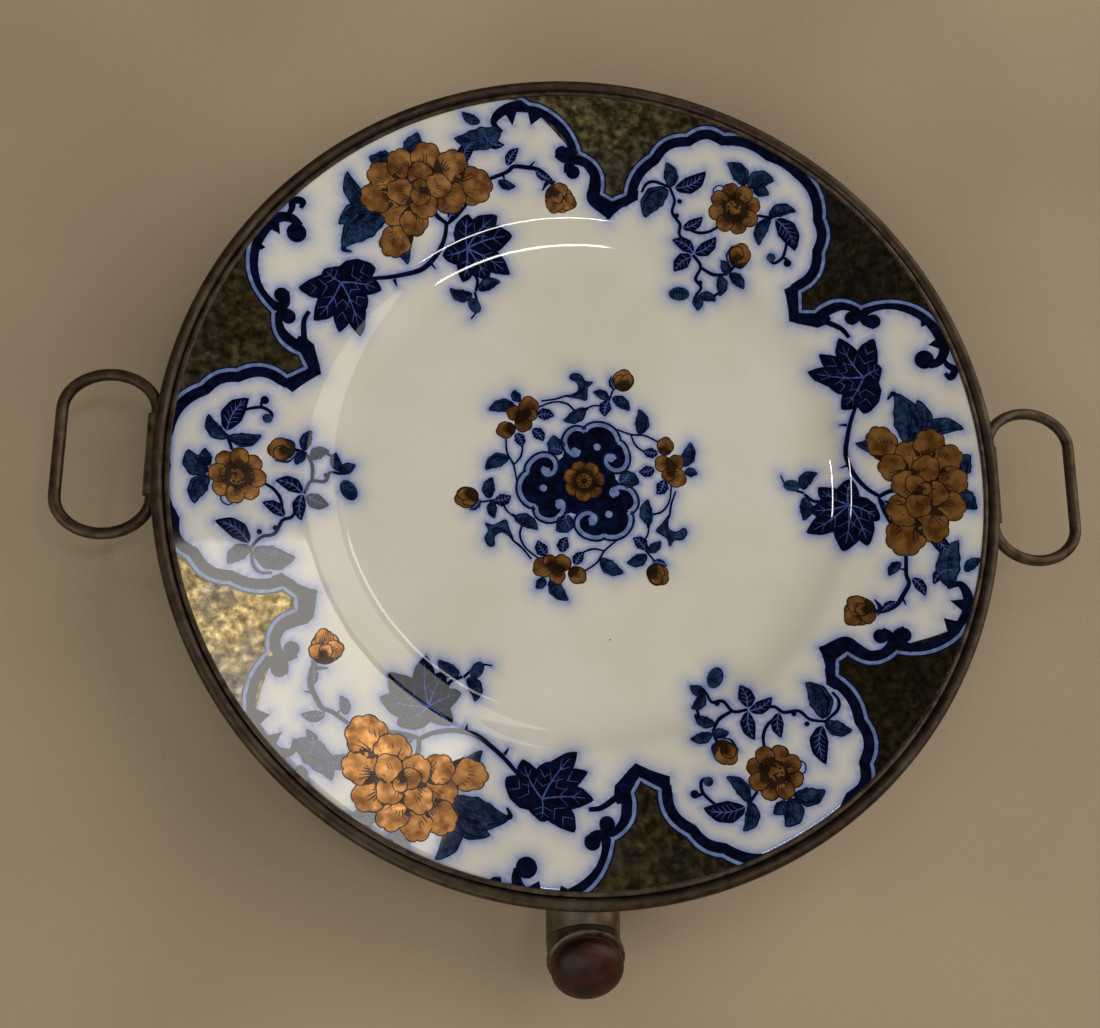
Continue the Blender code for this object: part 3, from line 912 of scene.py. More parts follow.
@dataclass(frozen=True)
class SmallPanel:
    """The small domed panel's spray: one round flower, a bud and three leafy stems."""

    def draw(self, pen: Pen) -> None:
        """Draws stems, leaves, the tendril, the bud and the flower.

        Args:
            pen: The pen to draw with.
        """
        solid = LeafKind.SOLID
        thin = (0.9, 1.1, 0.8)
        for stem in (
            [(27.9, 99.3), (22.9, 101), (20, 100), (18.6, 97.2)],
            [(27.9, 99.3), (29.5, 95), (28.8, 91), (31.4, 87.1), (31.2, 84), (33, 81.5), (35.7, 77.9)],
            [(33, 86.3), (37, 84.6), (41, 85), (45, 87.5)],
            [(36, 77.5), (38.7, 74), (37.3, 70.3), (39.2, 67.6), (37.5, 65.0)],
            [(39, 73.5), (43, 71.4), (47.5, 71.3)],
            [(38.2, 64.6), (42, 64), (45.2, 66)],
            [(57, 90.8), (60.6, 90.2), (62, 90)],
            [(47.5, 71.5), (49.6, 74)],
        ):
            pen.stroke(Ink.COBALT, stem, thin)
        for spot in ((31.2, 94.8), (30.3, 90), (38.8, 69)):
            pen.ball(Ink.COBALT, spot, 0.8, 1)
        leaves = (
            Leaf((52.3, 100.6), (46.8, 107.9), 5.2, -0.16), Leaf((54.2, 100), (62.2, 102.4), 6.0, 0.2),
            Leaf((55.5, 99), (60.6, 97.8), 3.4, 0.1), Leaf((27.9, 99.5), (26.4, 107.4), 4.4, -0.12),
            Leaf((29.4, 99.2), (39.6, 105.2), 5.4, -0.14, solid),
            Leaf((27.4, 98.2), (20.0, 88.9), 6.8, -0.16),
            Leaf((32.2, 86.0), (38.8, 90.0), 3.8, -0.12, solid),
            Leaf((36, 78), (28.9, 82), 3.8, -0.12, solid),
            Leaf((36.4, 78), (43.2, 83.4), 4.4, -0.14, solid),
            Leaf((35.6, 77), (30.3, 72.5), 4.8, -0.12, solid),
            Leaf((37.5, 65), (38.2, 60.0), 3.2, 0.1), Leaf((38.5, 64.6), (44, 63.2), 2.8, 0.14),
            Leaf((44.6, 70.6), (45.2, 64.8), 3.2, 0.18), Leaf((47.3, 71.4), (45.0, 75.4), 2.8, -0.1),
            Leaf((48, 71.2), (52.6, 66.6), 3.0, 0.1), Leaf((61, 90.2), (69.5, 92.2), 4.0, 0.2),
            Leaf((61.2, 89.6), (57.6, 80.9), 4.0, -0.16),
            Leaf((62.8, 89.6), (69.2, 79.0), 6.4, 0.12, solid),
        )
        for leaf in leaves:
            pen.leaf(leaf)
        pen.stroke(
            Ink.COBALT,
            [(66.6, 82), (66, 79), (65, 76.6), (62.6, 75), (61, 75.6)],
            (0.9, 1.1, 1.0),
        )
        pen.ball(Ink.WASH, (61.4, 76.8), 1.5)
        pen.stroke(Ink.COBALT, [(65.4, 76.8), (66.8, 76.2)], 0.9)
        pen.ball(Ink.COBALT, (66.8, 75.0), 1.3)
        pen.ball(Ink.WASH, (32, 65.4), 2.3, stretch=1.5)
        for k in range(6):
            x = 29.4 + k
            pen.stroke(Ink.KEYLINE, [(x, 66.8), (x - 0.2, 65.4), (x, 63.9)], (0.2, 0.3, 0.2))
        pen.petal((51, 77.2), (4.3, 3.6), 70, 0, 3)
        pen.petal((50.2, 77.8), (2.6, 2.3), 110, 1, 2)
        pen.stroke(Ink.KEYLINE, [(47.6, 74.6), (46.8, 77.2), (48.6, 80.6)], (0.3, 0.7, 0.2), 12)
        pen.stroke(Ink.KEYLINE, [(48.6, 74.0), (51.5, 73.2), (54.2, 75.6)], (0.3, 0.8, 0.3), 12)
        pen.stroke(
            Ink.KEYLINE,
            [(42.6, 96.5), (42.4, 99.4), (44.6, 100.6), (46.6, 99.6), (49, 100.8)],
            0.4,
        )
        pen.rosette((49.3, 92.9), 8.6, 8, 3.9, 12)


@dataclass(frozen=True)
class LargePanel:
    """The large panel's spray: a full peony, a bud, vine leaves and a long thorny stem."""

    def draw(self, pen: Pen) -> None:
        """Draws the stems, vine leaves, leaves, bud and peony.

        Args:
            pen: The pen to draw with.
        """
        self.draw_stems(pen)
        self.draw_vine_leaf(
            pen,
            (90.6, 36.8),
            (
                ((73.2, 39.2), 7.5), ((76.6, 44.6), 7), ((83.2, 50.0), 8), ((94.4, 49.6), 7.5),
                ((96.6, 39.6), 8.5), ((90.2, 24.6), 9.5), ((83.2, 26.2), 8), ((79.8, 33.4), 7.5),
            ),
        )
        self.draw_vine_leaf(
            pen,
            (84.2, -5),
            (
                ((76, 1.2), 6.5), ((72.8, -6.3), 7), ((71.6, -13.8), 7.5), ((81.6, -20.2), 9),
                ((89, -18.6), 8.5), ((93.4, -10.4), 7.5), ((85.4, 3.4), 6.5),
            ),
        )
        solid = LeafKind.SOLID
        leaves = (
            Leaf((71.5, 0.4), (75.8, 5.8), 3.8, 0.22), Leaf((71.3, -2.4), (71, -9.8), 3.6, 0.12),
            Leaf((103.4, 14.2), (100.4, 31.2), 8.6, -0.12), Leaf((105, 15), (107.4, 28.8), 7, -0.16),
            Leaf((108, 16), (121.4, 18.8), 5.4, 0.2), Leaf((97.5, 18.4), (87.2, 14.9), 4.8, 0.22),
            Leaf((118.8, 2.6), (122.9, 10.2), 6.4, 0.12),
            Leaf((119.2, -0.5), (123.8, -7.4), 5.4, -0.1),
            Leaf((107.6, -16.2), (113.4, -24.6), 4.4, 0.22, solid),
            Leaf((113.6, -32.6), (117.2, -17.6), 7, 0.12),
            Leaf((118.6, -27.6), (123.6, -23.8), 3, 0.1),
            Leaf((102, -29.4), (105.6, -35.2), 3.4, 0.12, solid),
            Leaf((94.8, -4), (97, -9.6), 3.2, 0.1, solid),
            Leaf((92.2, -39.6), (97.2, -37), 2.6, 0.1, solid),
            Leaf((99, -24.5), (95.2, -28.4), 2.8, -0.12),
            Leaf((114.4, -27), (108.6, -31.6), 3.4, -0.2, solid),
        )
        for leaf in leaves:
            pen.leaf(leaf)
        pen.ball(Ink.WASH, (67.8, 1.6), 1.9, stretch=1.45)
        pen.stroke(Ink.KEYLINE, [(65.6, 2.2), (67.6, 1.4), (70, 1.8)], (0.3, 0.4, 0.2))
        pen.stroke(Ink.KEYLINE, [(100.6, 30.6), (99.6, 31.2), (98, 29.2)], (1.6, 1.5, 0.6))
        self.draw_bud(pen)
        self.draw_peony(pen)

    def draw_stems(self, pen: Pen) -> None:
        """Draws the long stem, its thorns and its side shoots.

        Args:
            pen: The pen to draw with.
        """
        main = (1.2, 1.5, 1.3)
        stems = (
            ([(78.6, 55.6), (84, 53), (86.4, 50)], (2.0, 1.3)),
            (
                [
                    (87.8, 27.5), (86, 22.4), (84.8, 17), (84.2, 12), (85, 8), (86.8, 4), (90, 0),
                    (93.8, -2.6),
                ],
                main,
            ),
            ([(84.8, 21), (82.4, 21.2)], (1.2, 0.3)),
            ([(93.4, -2.8), (97, -1), (101, -0.4)], main),
            ([(93.4, -3), (96, -6), (100, -5.5)], (1, 0.9)),
            ([(93.6, -3.2), (94.6, -7), (97, -12), (100, -16)], (1.1, 0.9)),
            ([(86, -2), (80, -2.4), (75, -3.6), (71.6, -1.2)], (1.2, 1.0)),
            ([(71.6, -0.8), (68, 0.4), (65.6, 2.2), (64.4, 4.8)], (0.9, 0.7, 0.5)),
            (
                [
                    (100.8, -22), (100.4, -28), (101, -31), (99, -34.6), (96.6, -37.8), (92.6, -39.6),
                    (89, -39.6),
                ],
                main,
            ),
        )
        for points, widths in stems:
            pen.stroke(Ink.COBALT, points, widths)
        for start, end in (
            ((100.6, -26.6), (98.2, -26.2)), ((98.4, -35), (99.6, -38)),
            ((85.2, 8), (82.6, 7.2)),
        ):
            pen.stroke(Ink.COBALT, [start, end], (1.1, 0.3))

    def draw_vine_leaf(self, pen: Pen, heart: Point, lobes: Sequence[tuple[Point, float]]) -> None:
        """Draws a solid lobed leaf with pale veins.

        Args:
            pen: The pen.
            heart: Where its veins meet.
            lobes: Each lobe's tip and width.
        """
        middle = np.array(heart)
        for k, (tip, width) in enumerate(lobes):
            far = np.array(tip)
            along = far - middle
            side = np.array((-along[1], along[0]))
            t = np.linspace(0, 1, 25)
            spine = middle + np.outer(t, along) + np.outer(4 * t * (1 - t) * 0.06, side)
            swell = width / 2 * np.sin(math.pi * (0.2 + 0.8 * t)) ** 0.7 * (1 + 0.07 * np.sin(t * 24 + k))
            left = normals_of(spine) * swell[:, None]
            pen.fill(Ink.COBALT, np.vstack([spine + left, (spine - left)[-2::-1]]), level=k % 4)
            if k % 2 == 0 or len(lobes) < 8:
                pen.stroke(Ink.VEIN, spine[:21], (0.5, 0.36, 0.12), steps=0)
            for j in (8, 14):
                for swing in (0.7, -0.7):
                    end = spine[j + 4] + left[j + 4] * swing
                    pen.stroke(Ink.VEIN, [spine[j], (spine[j] + end) / 2, end], (0.22, 0.08), steps=2)

    def draw_bud(self, pen: Pen) -> None:
        """Draws the round bud at the stem's end.

        Args:
            pen: The pen to draw with.
        """
        petals = (
            ((85.5, -39.4), (5.0, 4.6), 180), ((83.2, -41.2), (3.2, 2.8), 220),
            ((84.4, -37.4), (3.2, 2.8), 140), ((87.6, -40.8), (2.8, 2.4), 270),
            ((86.2, -39), (2.4, 2.0), 180),
        )
        for level, (centre, size, toward) in enumerate(petals):
            pen.petal(centre, size, toward, level, 3)
        pen.stroke(Ink.KEYLINE, [(90.6, -41), (91.6, -38.6), (90, -35.8)], (0.4, 1.6, 0.4), 12)

    def draw_peony(self, pen: Pen) -> None:
        """Draws the peony's petals from the back to the front.

        Args:
            pen: The pen to draw with.
        """
        petals = (
            ((95.6, 14.4), (6.4, 5.0), 115, 5), ((104.0, 9.0), (6.6, 5.4), 95, 4),
            ((110.4, 13.4), (6.0, 5.2), 80, 5), ((115.4, 9.0), (5.4, 4.8), 35, 4),
            ((116.2, 1.8), (5.6, 5.0), 0, 4), ((115.0, -6.2), (5.6, 5.2), -30, 4),
            ((109.6, -12.2), (6.2, 5.2), -75, 5), ((101.2, -15.6), (6.8, 6.4), -115, 5),
            ((100.8, -7.4), (5.2, 5.6), -150, 4), ((98.8, 6.6), (5.2, 4.6), 150, 4),
            ((102.8, 1.2), (5.4, 4.6), 175, 4), ((108.6, 5.6), (5.4, 4.4), 60, 4),
            ((110.8, -2.0), (4.8, 4.2), -15, 3), ((106.0, -5.4), (4.8, 4.2), -120, 3),
            ((105.4, 0.8), (3.8, 3.2), 130, 3), ((108.0, -0.6), (2.6, 2.2), 20, 2),
        )
        for level, (centre, size, toward, scallops) in enumerate(petals):
            pen.petal(centre, size, toward, level, scallops)


@dataclass(frozen=True)
class Medallion:
    """The well's centre: three curled lobes on solid blue round a small flower, and the wreath."""

    def draw(self, pen: Pen) -> None:
        """Draws one third of the curled lobes and of the wreath, without the flower.

        Args:
            pen: The pen to draw with.
        """
        body = [
            (-5.6, 13.4), (-5.2, 16.4), (-3, 18.0), (0.4, 16.9), (3.7, 19.3), (8.2, 18.5),
            (11.2, 14.1), (14, 10.6), (13.6, 5.4), (10, 3.6), (8.2, 1.6), (0, -1), (-7, 4.2),
            (-6.4, 9),
        ]
        pen.fill(Ink.COBALT, body)
        hook = curved(
            [
                (-3.2, 9.0), (-5.0, 10.6), (-5.9, 13.4), (-5.0, 16.0), (-2.8, 17.7), (-0.6, 17.6),
                (0.5, 17.0),
            ],
            6,
        )
        crown = curved(
            [
                (0.5, 17.0), (2.0, 18.6), (4.4, 19.4), (7.2, 19.1), (9.6, 17.6), (10.9, 15.6),
                (11.2, 14.0),
            ],
            5,
        )
        cheek = curved(
            [
                (11.2, 14.0), (12.8, 12.9), (13.9, 10.6), (14.2, 8.0), (13.2, 5.6), (11.2, 4.5),
                (9.0, 4.9), (7.4, 6.6), (7.6, 8.8), (9.4, 9.4), (10.4, 8.2),
            ],
            5,
        )
        for part in (hook, crown, cheek):
            edge = part + normals_of(part) * 0.95
            pen.stroke(Ink.KEYLINE, edge, 0.75, steps=0)
            pen.stroke(Ink.LINE, part, 1.35, steps=0)
        pen.ball(Ink.LINE, (-2.7, 10.4), 1.15, 1)
        pen.stroke(Ink.LINE, [(-3.4, 8.9), (-1.8, 9.2), (-1.4, 10.8)], 1.2, 1)
        pen.ball(Ink.LINE, (8.9, 8.2), 1.05, 1)
        pen.ball(Ink.LINE, (4.5, 12.0), 1.15)
        pen.leaf(Leaf((-7, 9.4), (-9.4, 15.2), 5.4, 0.1))
        pen.leaf(Leaf((-6.2, 10), (-10.8, 10.8), 4.0, -0.1, LeafKind.SOLID))
        self.draw_wreath(pen)

    def draw_flower(self, pen: Pen) -> None:
        """Draws the flower at the very centre.

        Args:
            pen: The pen to draw with.
        """
        pen.ball(Ink.COBALT, (0, 0), 10.6, 3)
        pen.rosette((0.3, 0.7), 6.7, 7, 3.2, 8)

    def draw_wreath(self, pen: Pen) -> None:
        """Draws one third of the wreath of stems, leaves and buds.

        Args:
            pen: The pen to draw with.
        """
        solid = LeafKind.SOLID
        thin = (0.55, 0.7, 0.55)
        for stem in (
            [(10.6, 18.2), (15.5, 16.6), (20, 16.4), (24.8, 14.2)],
            [(15.5, 16.5), (17, 13), (20.8, 10.2)],
            [(28.4, 0.4), (27.6, -5), (25, -8.6), (20.4, -10.2), (20.6, -14)],
            [(-1.4, 28.6), (-5, 28.8), (-9, 27.4), (-13.4, 26.6)],
            [(0.5, 24.6), (4, 25.8), (7.4, 25.6), (8.6, 28), (9.8, 31.2), (11, 32)],
        ):
            pen.stroke(Ink.COBALT, stem, thin)
        for leaf in (
            Leaf((24.2, 11), (19.2, 11.4), 3.4, 0.1, solid),
            Leaf((22.8, 5.8), (17.8, 4.4), 3.8, 0.12, solid),
            Leaf((26, 2), (23.4, -2.8), 4.0, 0.12, solid), Leaf((32.2, 6.8), (34.8, 14.6), 4.0, -0.1),
            Leaf((33, 4.2), (36.8, 4.2), 2.8, 0.16), Leaf((18, 17), (18.2, 25.0), 4.2, -0.14),
            Leaf((0.4, 24.8), (-6.2, 20.3), 4.0, 0.12),
            Leaf((8.4, 27.6), (7.2, 22.2), 4.0, -0.12, solid),
            Leaf((8.2, 28), (3.4, 30.2), 2.8, -0.12), Leaf((9.6, 28.4), (15.0, 24.6), 3.6, 0.12),
            Leaf((10.6, 31.4), (9.4, 36.0), 2.2, 0.12, solid),
        ):
            pen.leaf(leaf)
        bell = curved(
            [
                (-5.2, 28.4), (-1.6, 30.4), (-1.8, 33.2), (-4.2, 34.6), (-3.4, 36.2), (-0.8, 36),
                (0.8, 33.8), (3.2, 33.6), (1.4, 31.6), (1.2, 27.6), (-1.6, 28), (-5.2, 28.4),
            ],
            3,
        )
        pen.fill(Ink.WASH, bell[:-1])
        pen.stroke(Ink.KEYLINE, bell, 0.4, steps=0)
        pen.stroke(Ink.KEYLINE, [(-3, 28.6), (0, 31), (0.6, 33)], (0.6, 1.2, 0.4))
        flower = (
            ((26.6, 13.0), (3.2, 2.7), 80, 3), ((30.0, 7.8), (2.8, 2.5), 40, 3),
            ((29.8, 2.9), (3.6, 3.2), -25, 3), ((26.0, 7.2), (3.0, 2.8), 180, 2),
            ((27.4, 3.6), (2.2, 2.0), 230, 2),
        )
        for level, (centre, size, toward, frills) in enumerate(flower):
            pen.petal(centre, size, toward, level, frills)
        bud = (
            ((13.2, 34.6), (3.9, 3.4), 80), ((12.2, 34.0), (2.6, 2.0), 95),
            ((14.4, 34.6), (2.6, 1.9), 70),
        )
        for level, (centre, size, toward) in enumerate(bud):
            pen.petal(centre, size, toward, level, 3)


# ------------------------------------------------------------------------------- the dish


@dataclass(frozen=True)
class DishForm:
    """The dish's upper face as a slope that runs in straight lines between a few radii."""

    well_height: float = 25.0
    radii: tuple[float, ...] = (0.0, 70.0, 79.0, 83.5, 88.0, 126.2)
    slopes: tuple[float, ...] = (0.0, 0.0, 0.29, 0.50, 0.215, 0.268)

    def slope(self, radius: float) -> float:
        """Rise over run at a radius."""
        return float(np.interp(radius, self.radii, self.slopes))

    def height(self, radius: float) -> float:
        """Height of the glaze at a radius, the slope summed from the well outwards.

        Args:
            radius: Distance from the dish's axis.

        Returns:
            The height in millimetres.
        """
        total = self.well_height
        for near, far in zip(self.radii, self.radii[1:]):
            end = min(far, radius)
            if end > near:
                total += (end - near) * (self.slope(near) + self.slope(end)) / 2
        return total

    def normal(self, x: float, y: float) -> Vector:
        """The glaze's upward normal at a place.

        Args:
            x: The place's x.
            y: The place's y.

        Returns:
            The unit normal.
        """
        radius = math.hypot(x, y)
        tilt = self.slope(radius)
        share = tilt / radius if radius > 1e-6 else 0.0
        return Vector((-x * share, -y * share, 1)).normalized()


@dataclass
class Dish:
    """The earthenware dish with its print.

    Attributes:
        form: Its upper face.
        print_centre: Where the print's centre lies on the dish.
        edge_radius: How far out the print goes.
        sides: Sides of the turned body.
        bleed: The haze's strength and reach, for its inner and outer part.
        bleed_grid: Spacing to which the printed points are thinned before distances are taken.
        stretch: Radii, and how far the flat transfer is drawn outwards there as it goes up the wall.
        flat_radius: Shapes within this radius lie on the flat well and need no cuts.
        roll: Radius of the arc on which angles are laid out as lengths while shapes are cut.
        top_end: Radius at which the upper face turns down into the edge.
        edge: The dish's edge as radii and depths below the end of its upper face.
        under: The dish's underside and foot ring.
    """

    form: DishForm = field(default_factory=DishForm)
    print_centre: Point = (-0.6, -2.0)
    edge_radius: float = 125.45
    sides: int = 384
    bleed: tuple[tuple[float, float], ...] = ((0.5, 0.8), (0.42, 3.4))
    stretch: tuple[tuple[float, ...], tuple[float, ...]] = ((66, 80, 90, 125), (0, 0.8, 1.1, 0))
    flat_radius: float = 66.0
    roll: float = 100.0
    top_end: float = 125.2
    edge: tuple[Point, ...] = (
        (125.7, 0.15), (126.05, 0.6), (126.2, 1.4), (126.1, 2.6), (125.6, 3.5), (124.6, 4.1),
    )
    under: tuple[Point, ...] = (
        (124, 34.2), (107, 31.4), (92, 29.6), (84, 26.6), (78, 23.2), (73.2, 20.6), (72.2, 19.4),
        (71.8, 16.9), (71.2, 16.5), (67.8, 16.5), (67.2, 16.9), (66.9, 19.8), (65.6, 20.5), (0, 20.5),
    )
    bleed_grid: float = 0.35
    pen: Pen = field(default_factory=Pen)

    def build(self) -> None:
        """Draws the print, turns the body, and lets the cobalt bleed into the glaze round it."""
        for part in (Frame(), SmallPanel(), LargePanel(), Medallion()):
            part.draw(self.pen)
        prints = {ink: self.lay_print(ink, shapes) for ink, shapes in self.pen.shapes.items()}
        centre = Pen()
        Medallion().draw_flower(centre)
        for ink, shapes in centre.shapes.items():
            self.lay_print(ink, shapes, 1, "_centre")
        self.build_body(
            [made for ink, made in prints.items() if ink in (Ink.COBALT, Ink.WASH, Ink.KEYLINE)],
        )

    def lay_print(self, ink: Ink, shapes: Shapes, copies: int = 3, suffix: str = "") -> bpy.types.Object:
        """Lays one ink's shapes on the dish as thin facets that follow its form.

        Args:
            ink: The layer.
            shapes: The layer's shapes with their heights.
            copies: How many times they repeat round the dish.
            suffix: Added to the piece's name.

        Returns:
            The layer's object.
        """
        flat, bent = bmesh.new(), bmesh.new()
        for faces, height in shapes:
            rows = np.vstack(faces)
            inside = float(np.hypot(rows[:, 0], rows[:, 1]).max()) < self.flat_radius
            target = flat if inside else bent
            for face in faces:
                radius = np.hypot(face[:, 0], face[:, 1])
                drawn = radius + np.interp(radius, *self.stretch)
                angle = np.arctan2(face[:, 1], face[:, 0])
                spots = face if inside else np.column_stack([angle * self.roll, drawn])
                target.faces.new([target.verts.new((u, v, height)) for u, v in spots])
        self.cut_to_form(bent)
        for vert in bent.verts:
            angle, radius = vert.co.x / self.roll, vert.co.y
            vert.co = (radius * math.cos(angle), radius * math.sin(angle), vert.co.z)
        whole = bmesh.new()
        for part in (flat, bent):
            bmesh.ops.triangulate(part, faces=part.faces, ngon_method="EAR_CLIP")
            scrap = bpy.data.meshes.new("scrap")
            part.to_mesh(scrap)
            part.free()
            for k in range(copies):
                before = len(whole.verts)
                whole.from_mesh(scrap)
                whole.verts.ensure_lookup_table()
                turn = Matrix.Rotation(TURN * k / 3, 3, "Z")
                bmesh.ops.rotate(whole, verts=whole.verts[before:], cent=(0, 0, 0), matrix=turn)
            bpy.data.meshes.remove(scrap)
        normals = self.drape(whole)
        name = "print_" + ink.name.lower() + suffix
        mesh = bpy.data.meshes.new(name)
        whole.to_mesh(mesh)
        whole.free()
        mesh.shade_smooth()
        mesh.normals_split_custom_set_from_vertices(normals)
        mesh.materials.append(ink.finish.material())
        made = bpy.data.objects.new(name, mesh)
        bpy.context.scene.collection.objects.link(made)
        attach(made, "vessel")
        LOG.info("%s: %d faces", name, len(mesh.polygons))
        return made

    def cut_to_form(self, bm: bmesh.types.BMesh) -> None:
        """Cuts shapes laid out by angle and radius where the dish curves.

        Args:
            bm: Shapes with the angle as x, rolled out to a length, and the radius as y.
        """
        bmesh.ops.triangulate(bm, faces=bm.faces, ngon_method="EAR_CLIP")
        rings = [*range(70, 93), *range(96, 128, 5)]
        turns = [math.radians(a) * self.roll for a in range(-60, 91, 3)]
        planes = [((0, r, 0), (0, 1, 0)) for r in rings] + [((a, 0, 0), (1, 0, 0)) for a in turns]
        for place, normal in planes:
            geom = [*bm.verts, *bm.edges, *bm.faces]
            bmesh.ops.bisect_plane(bm, geom=geom, dist=1e-4, plane_co=place, plane_no=normal)

    def drape(self, bm: bmesh.types.BMesh) -> list[Vector]:
        """Moves a flat print onto the dish and cuts it off at the edge.

        Args:
            bm: The print about its own centre, with its height over the glaze as z.

        Returns:
            The glaze's normal at each vertex.
        """
        for vert in bm.verts:
            x, y = vert.co.x + self.print_centre[0], vert.co.y + self.print_centre[1]
            pull = min(1.0, self.edge_radius / max(math.hypot(x, y), 1e-6))
            vert.co = (x * pull, y * pull, vert.co.z)
        slivers = [f for f in bm.faces if f.calc_area() < 1e-7]
        bmesh.ops.delete(bm, geom=slivers, context="FACES")
        loose = [v for v in bm.verts if not v.link_faces]
        bmesh.ops.delete(bm, geom=loose, context="VERTS")
        for face in bm.faces:
            face.normal_update()
        bmesh.ops.reverse_faces(bm, faces=[f for f in bm.faces if f.normal.z < 0])
        normals = []
        for vert in bm.verts:
            x, y, lift = vert.co
            normal = self.form.normal(x, y)
            place = Vector((x, y, self.form.height(math.hypot(x, y)))) + normal * lift
            vert.co = place * MM
            normals.append(normal)
        return normals

    def build_body(self, blues: Sequence[bpy.types.Object]) -> None:
        """Turns the body and stores the bled cobalt as an attribute.

        Args:
            blues: The printed layers that bleed.
        """
        form = self.form
        top_radii = [
            *np.arange(0, 40, 1.0), *np.arange(40, 60, 2.5), *np.arange(60, 125, 1.0), self.top_end,
        ]
        top = [(float(r), form.height(float(r))) for r in top_radii]
        edge = [(r, top[-1][1] - depth) for r, depth in self.edge]
        bm = turned([*top, *edge, *self.under], self.sides)
        made = finish_piece("dish_body", bm, LeadGlaze(), "vessel", ("plate",), 70)
        spots = np.vstack([self.positions(blue) for blue in blues])
        spots = np.unique(np.round(spots / (self.bleed_grid * MM)), axis=0) * self.bleed_grid * MM
        tree = kdtree.KDTree(len(spots))
        for k, spot in enumerate(spots):
            tree.insert(spot, k)
        tree.balance()
        haze = made.data.attributes.new("flow", "FLOAT", "POINT")
        below = 0.98 * form.well_height * MM
        values = []
        for row in self.positions(made):
            far = tree.find(row)[2] / MM if row[2] > below else math.inf
            haze_here = sum(share * math.exp(-((far / reach) ** 2)) for share, reach in self.bleed)
            values.append(min(1.0, haze_here))
        haze.data.foreach_set("value", values)

    @staticmethod
    def positions(made: bpy.types.Object) -> np.ndarray:
        """A mesh's vertices as rows.

        Args:
            made: The object.

        Returns:
            One row of three coordinates a vertex.
        """
        flat = np.empty(3 * len(made.data.vertices))
        made.data.vertices.foreach_get("co", flat)
        return flat.reshape(-1, 3)


# ------------------------------------------------------------------------------- the metalwork


@dataclass
class Rim:
    """The wired rim: the band with its rolled bead, and the lip that holds the dish down."""

    bead_centre: Point = (129.1, 38.1)
    bead_radius: float = 1.9
    sheet: float = 0.6
    band_inner: float = 127.2
    band_bottom: float = 22.0
    lip_inner: float = 125.5
    lip_outer: float = 126.9
    lip_top: float = 39.4
    sides: int = 288

    def build(self) -> None:
        """Turns the band and the lip."""
        outer = self.band_inner + self.sheet
        bead_bottom = self.bead_centre[1] - self.bead_radius
        outline = [(outer, self.band_bottom), (outer, bead_bottom)]
        outline += arc(self.bead_centre, self.bead_radius - self.sheet, 180, -115, 16)
        outline += arc(self.bead_centre, self.bead_radius, -115, 180, 26)
        outline += [(self.band_inner, self.band_bottom + 0.2), (self.band_inner + 0.2, self.band_bottom)]
        finish_piece(
            "rim_bead_and_band",
            turned(outline, self.sides),
            BRASS,
            "vessel",
            ("rim_band",),
            50,
        )
        leg, foot, top = self.lip_outer - 0.4, 32.0, self.lip_top
        lip = [
            (self.lip_inner + 0.05, top - 0.68), (self.lip_inner, top - 0.5),
            (self.lip_inner + 0.05, top - 0.12), (self.lip_inner + 0.2, top),
            (self.lip_outer - 0.3, top), (self.lip_outer, top - 0.2), (self.lip_outer, foot),
            (leg, foot), (leg, top - 0.6),
        ]
        finish_piece(
            "lip_ring",
            turned(lip, self.sides),
            RUBBED_BRASS,
            "vessel",
            ("retaining_lip",),
            60,
        )


@dataclass
class Reservoir:
    """The bowl-shaped water vessel: its raised wall and its seamed floor."""

    floor_radius: float = 107.6
    wall_radius: float = 126.9
    wall_top: float = 31.0
    wall_thick: float = 0.7
    floor_thick: float = 0.8
    seam_top: float = 5.0
    bowl_start: float = 5.8
    bowl_end: float = 28.0
    sides: int = 256

    def build(self) -> None:
        """Turns the wall and the floor."""
        start = np.array((self.floor_radius, self.bowl_start))
        end = np.array((self.wall_radius, self.bowl_end))
        pull = np.array((self.wall_radius, 0.62 * self.bowl_end))
        t = np.linspace(0, 1, 25)[:, None]
        bowl = (1 - t) ** 2 * start + 2 * t * (1 - t) * pull + t * t * end
        low, high = (self.floor_radius, self.floor_thick + 0.3), (self.wall_radius, self.wall_top)
        outside = np.vstack([[low], bowl, [high]])
        inside = outside + normals_of(outside) * self.wall_thick
        outline = [tuple(p) for p in np.vstack([outside, inside[::-1]])]
        finish_piece("bowl_wall", turned(outline, self.sides), BRASS, "vessel", ("reservoir_wall",), 50)
        inner = self.floor_radius + 0.3
        outer = inner + 0.6
        floor = [
            (0, 0.35), (60, 0.25), (96, 0.12), (101, 0), *arc((outer - 0.9, 0.9), 0.9, -90, 0, 6),
            (outer, self.seam_top - 0.15), (outer - 0.15, self.seam_top),
            (inner + 0.15, self.seam_top), (inner, self.seam_top - 0.15), (inner, self.floor_thick),
            (0, self.floor_thick),
        ]
        finish_piece(
            "seamed_floor",
            turned(floor, self.sides),
            BRASS,
            "vessel",
            ("reservoir_floor",),
            50,
        )


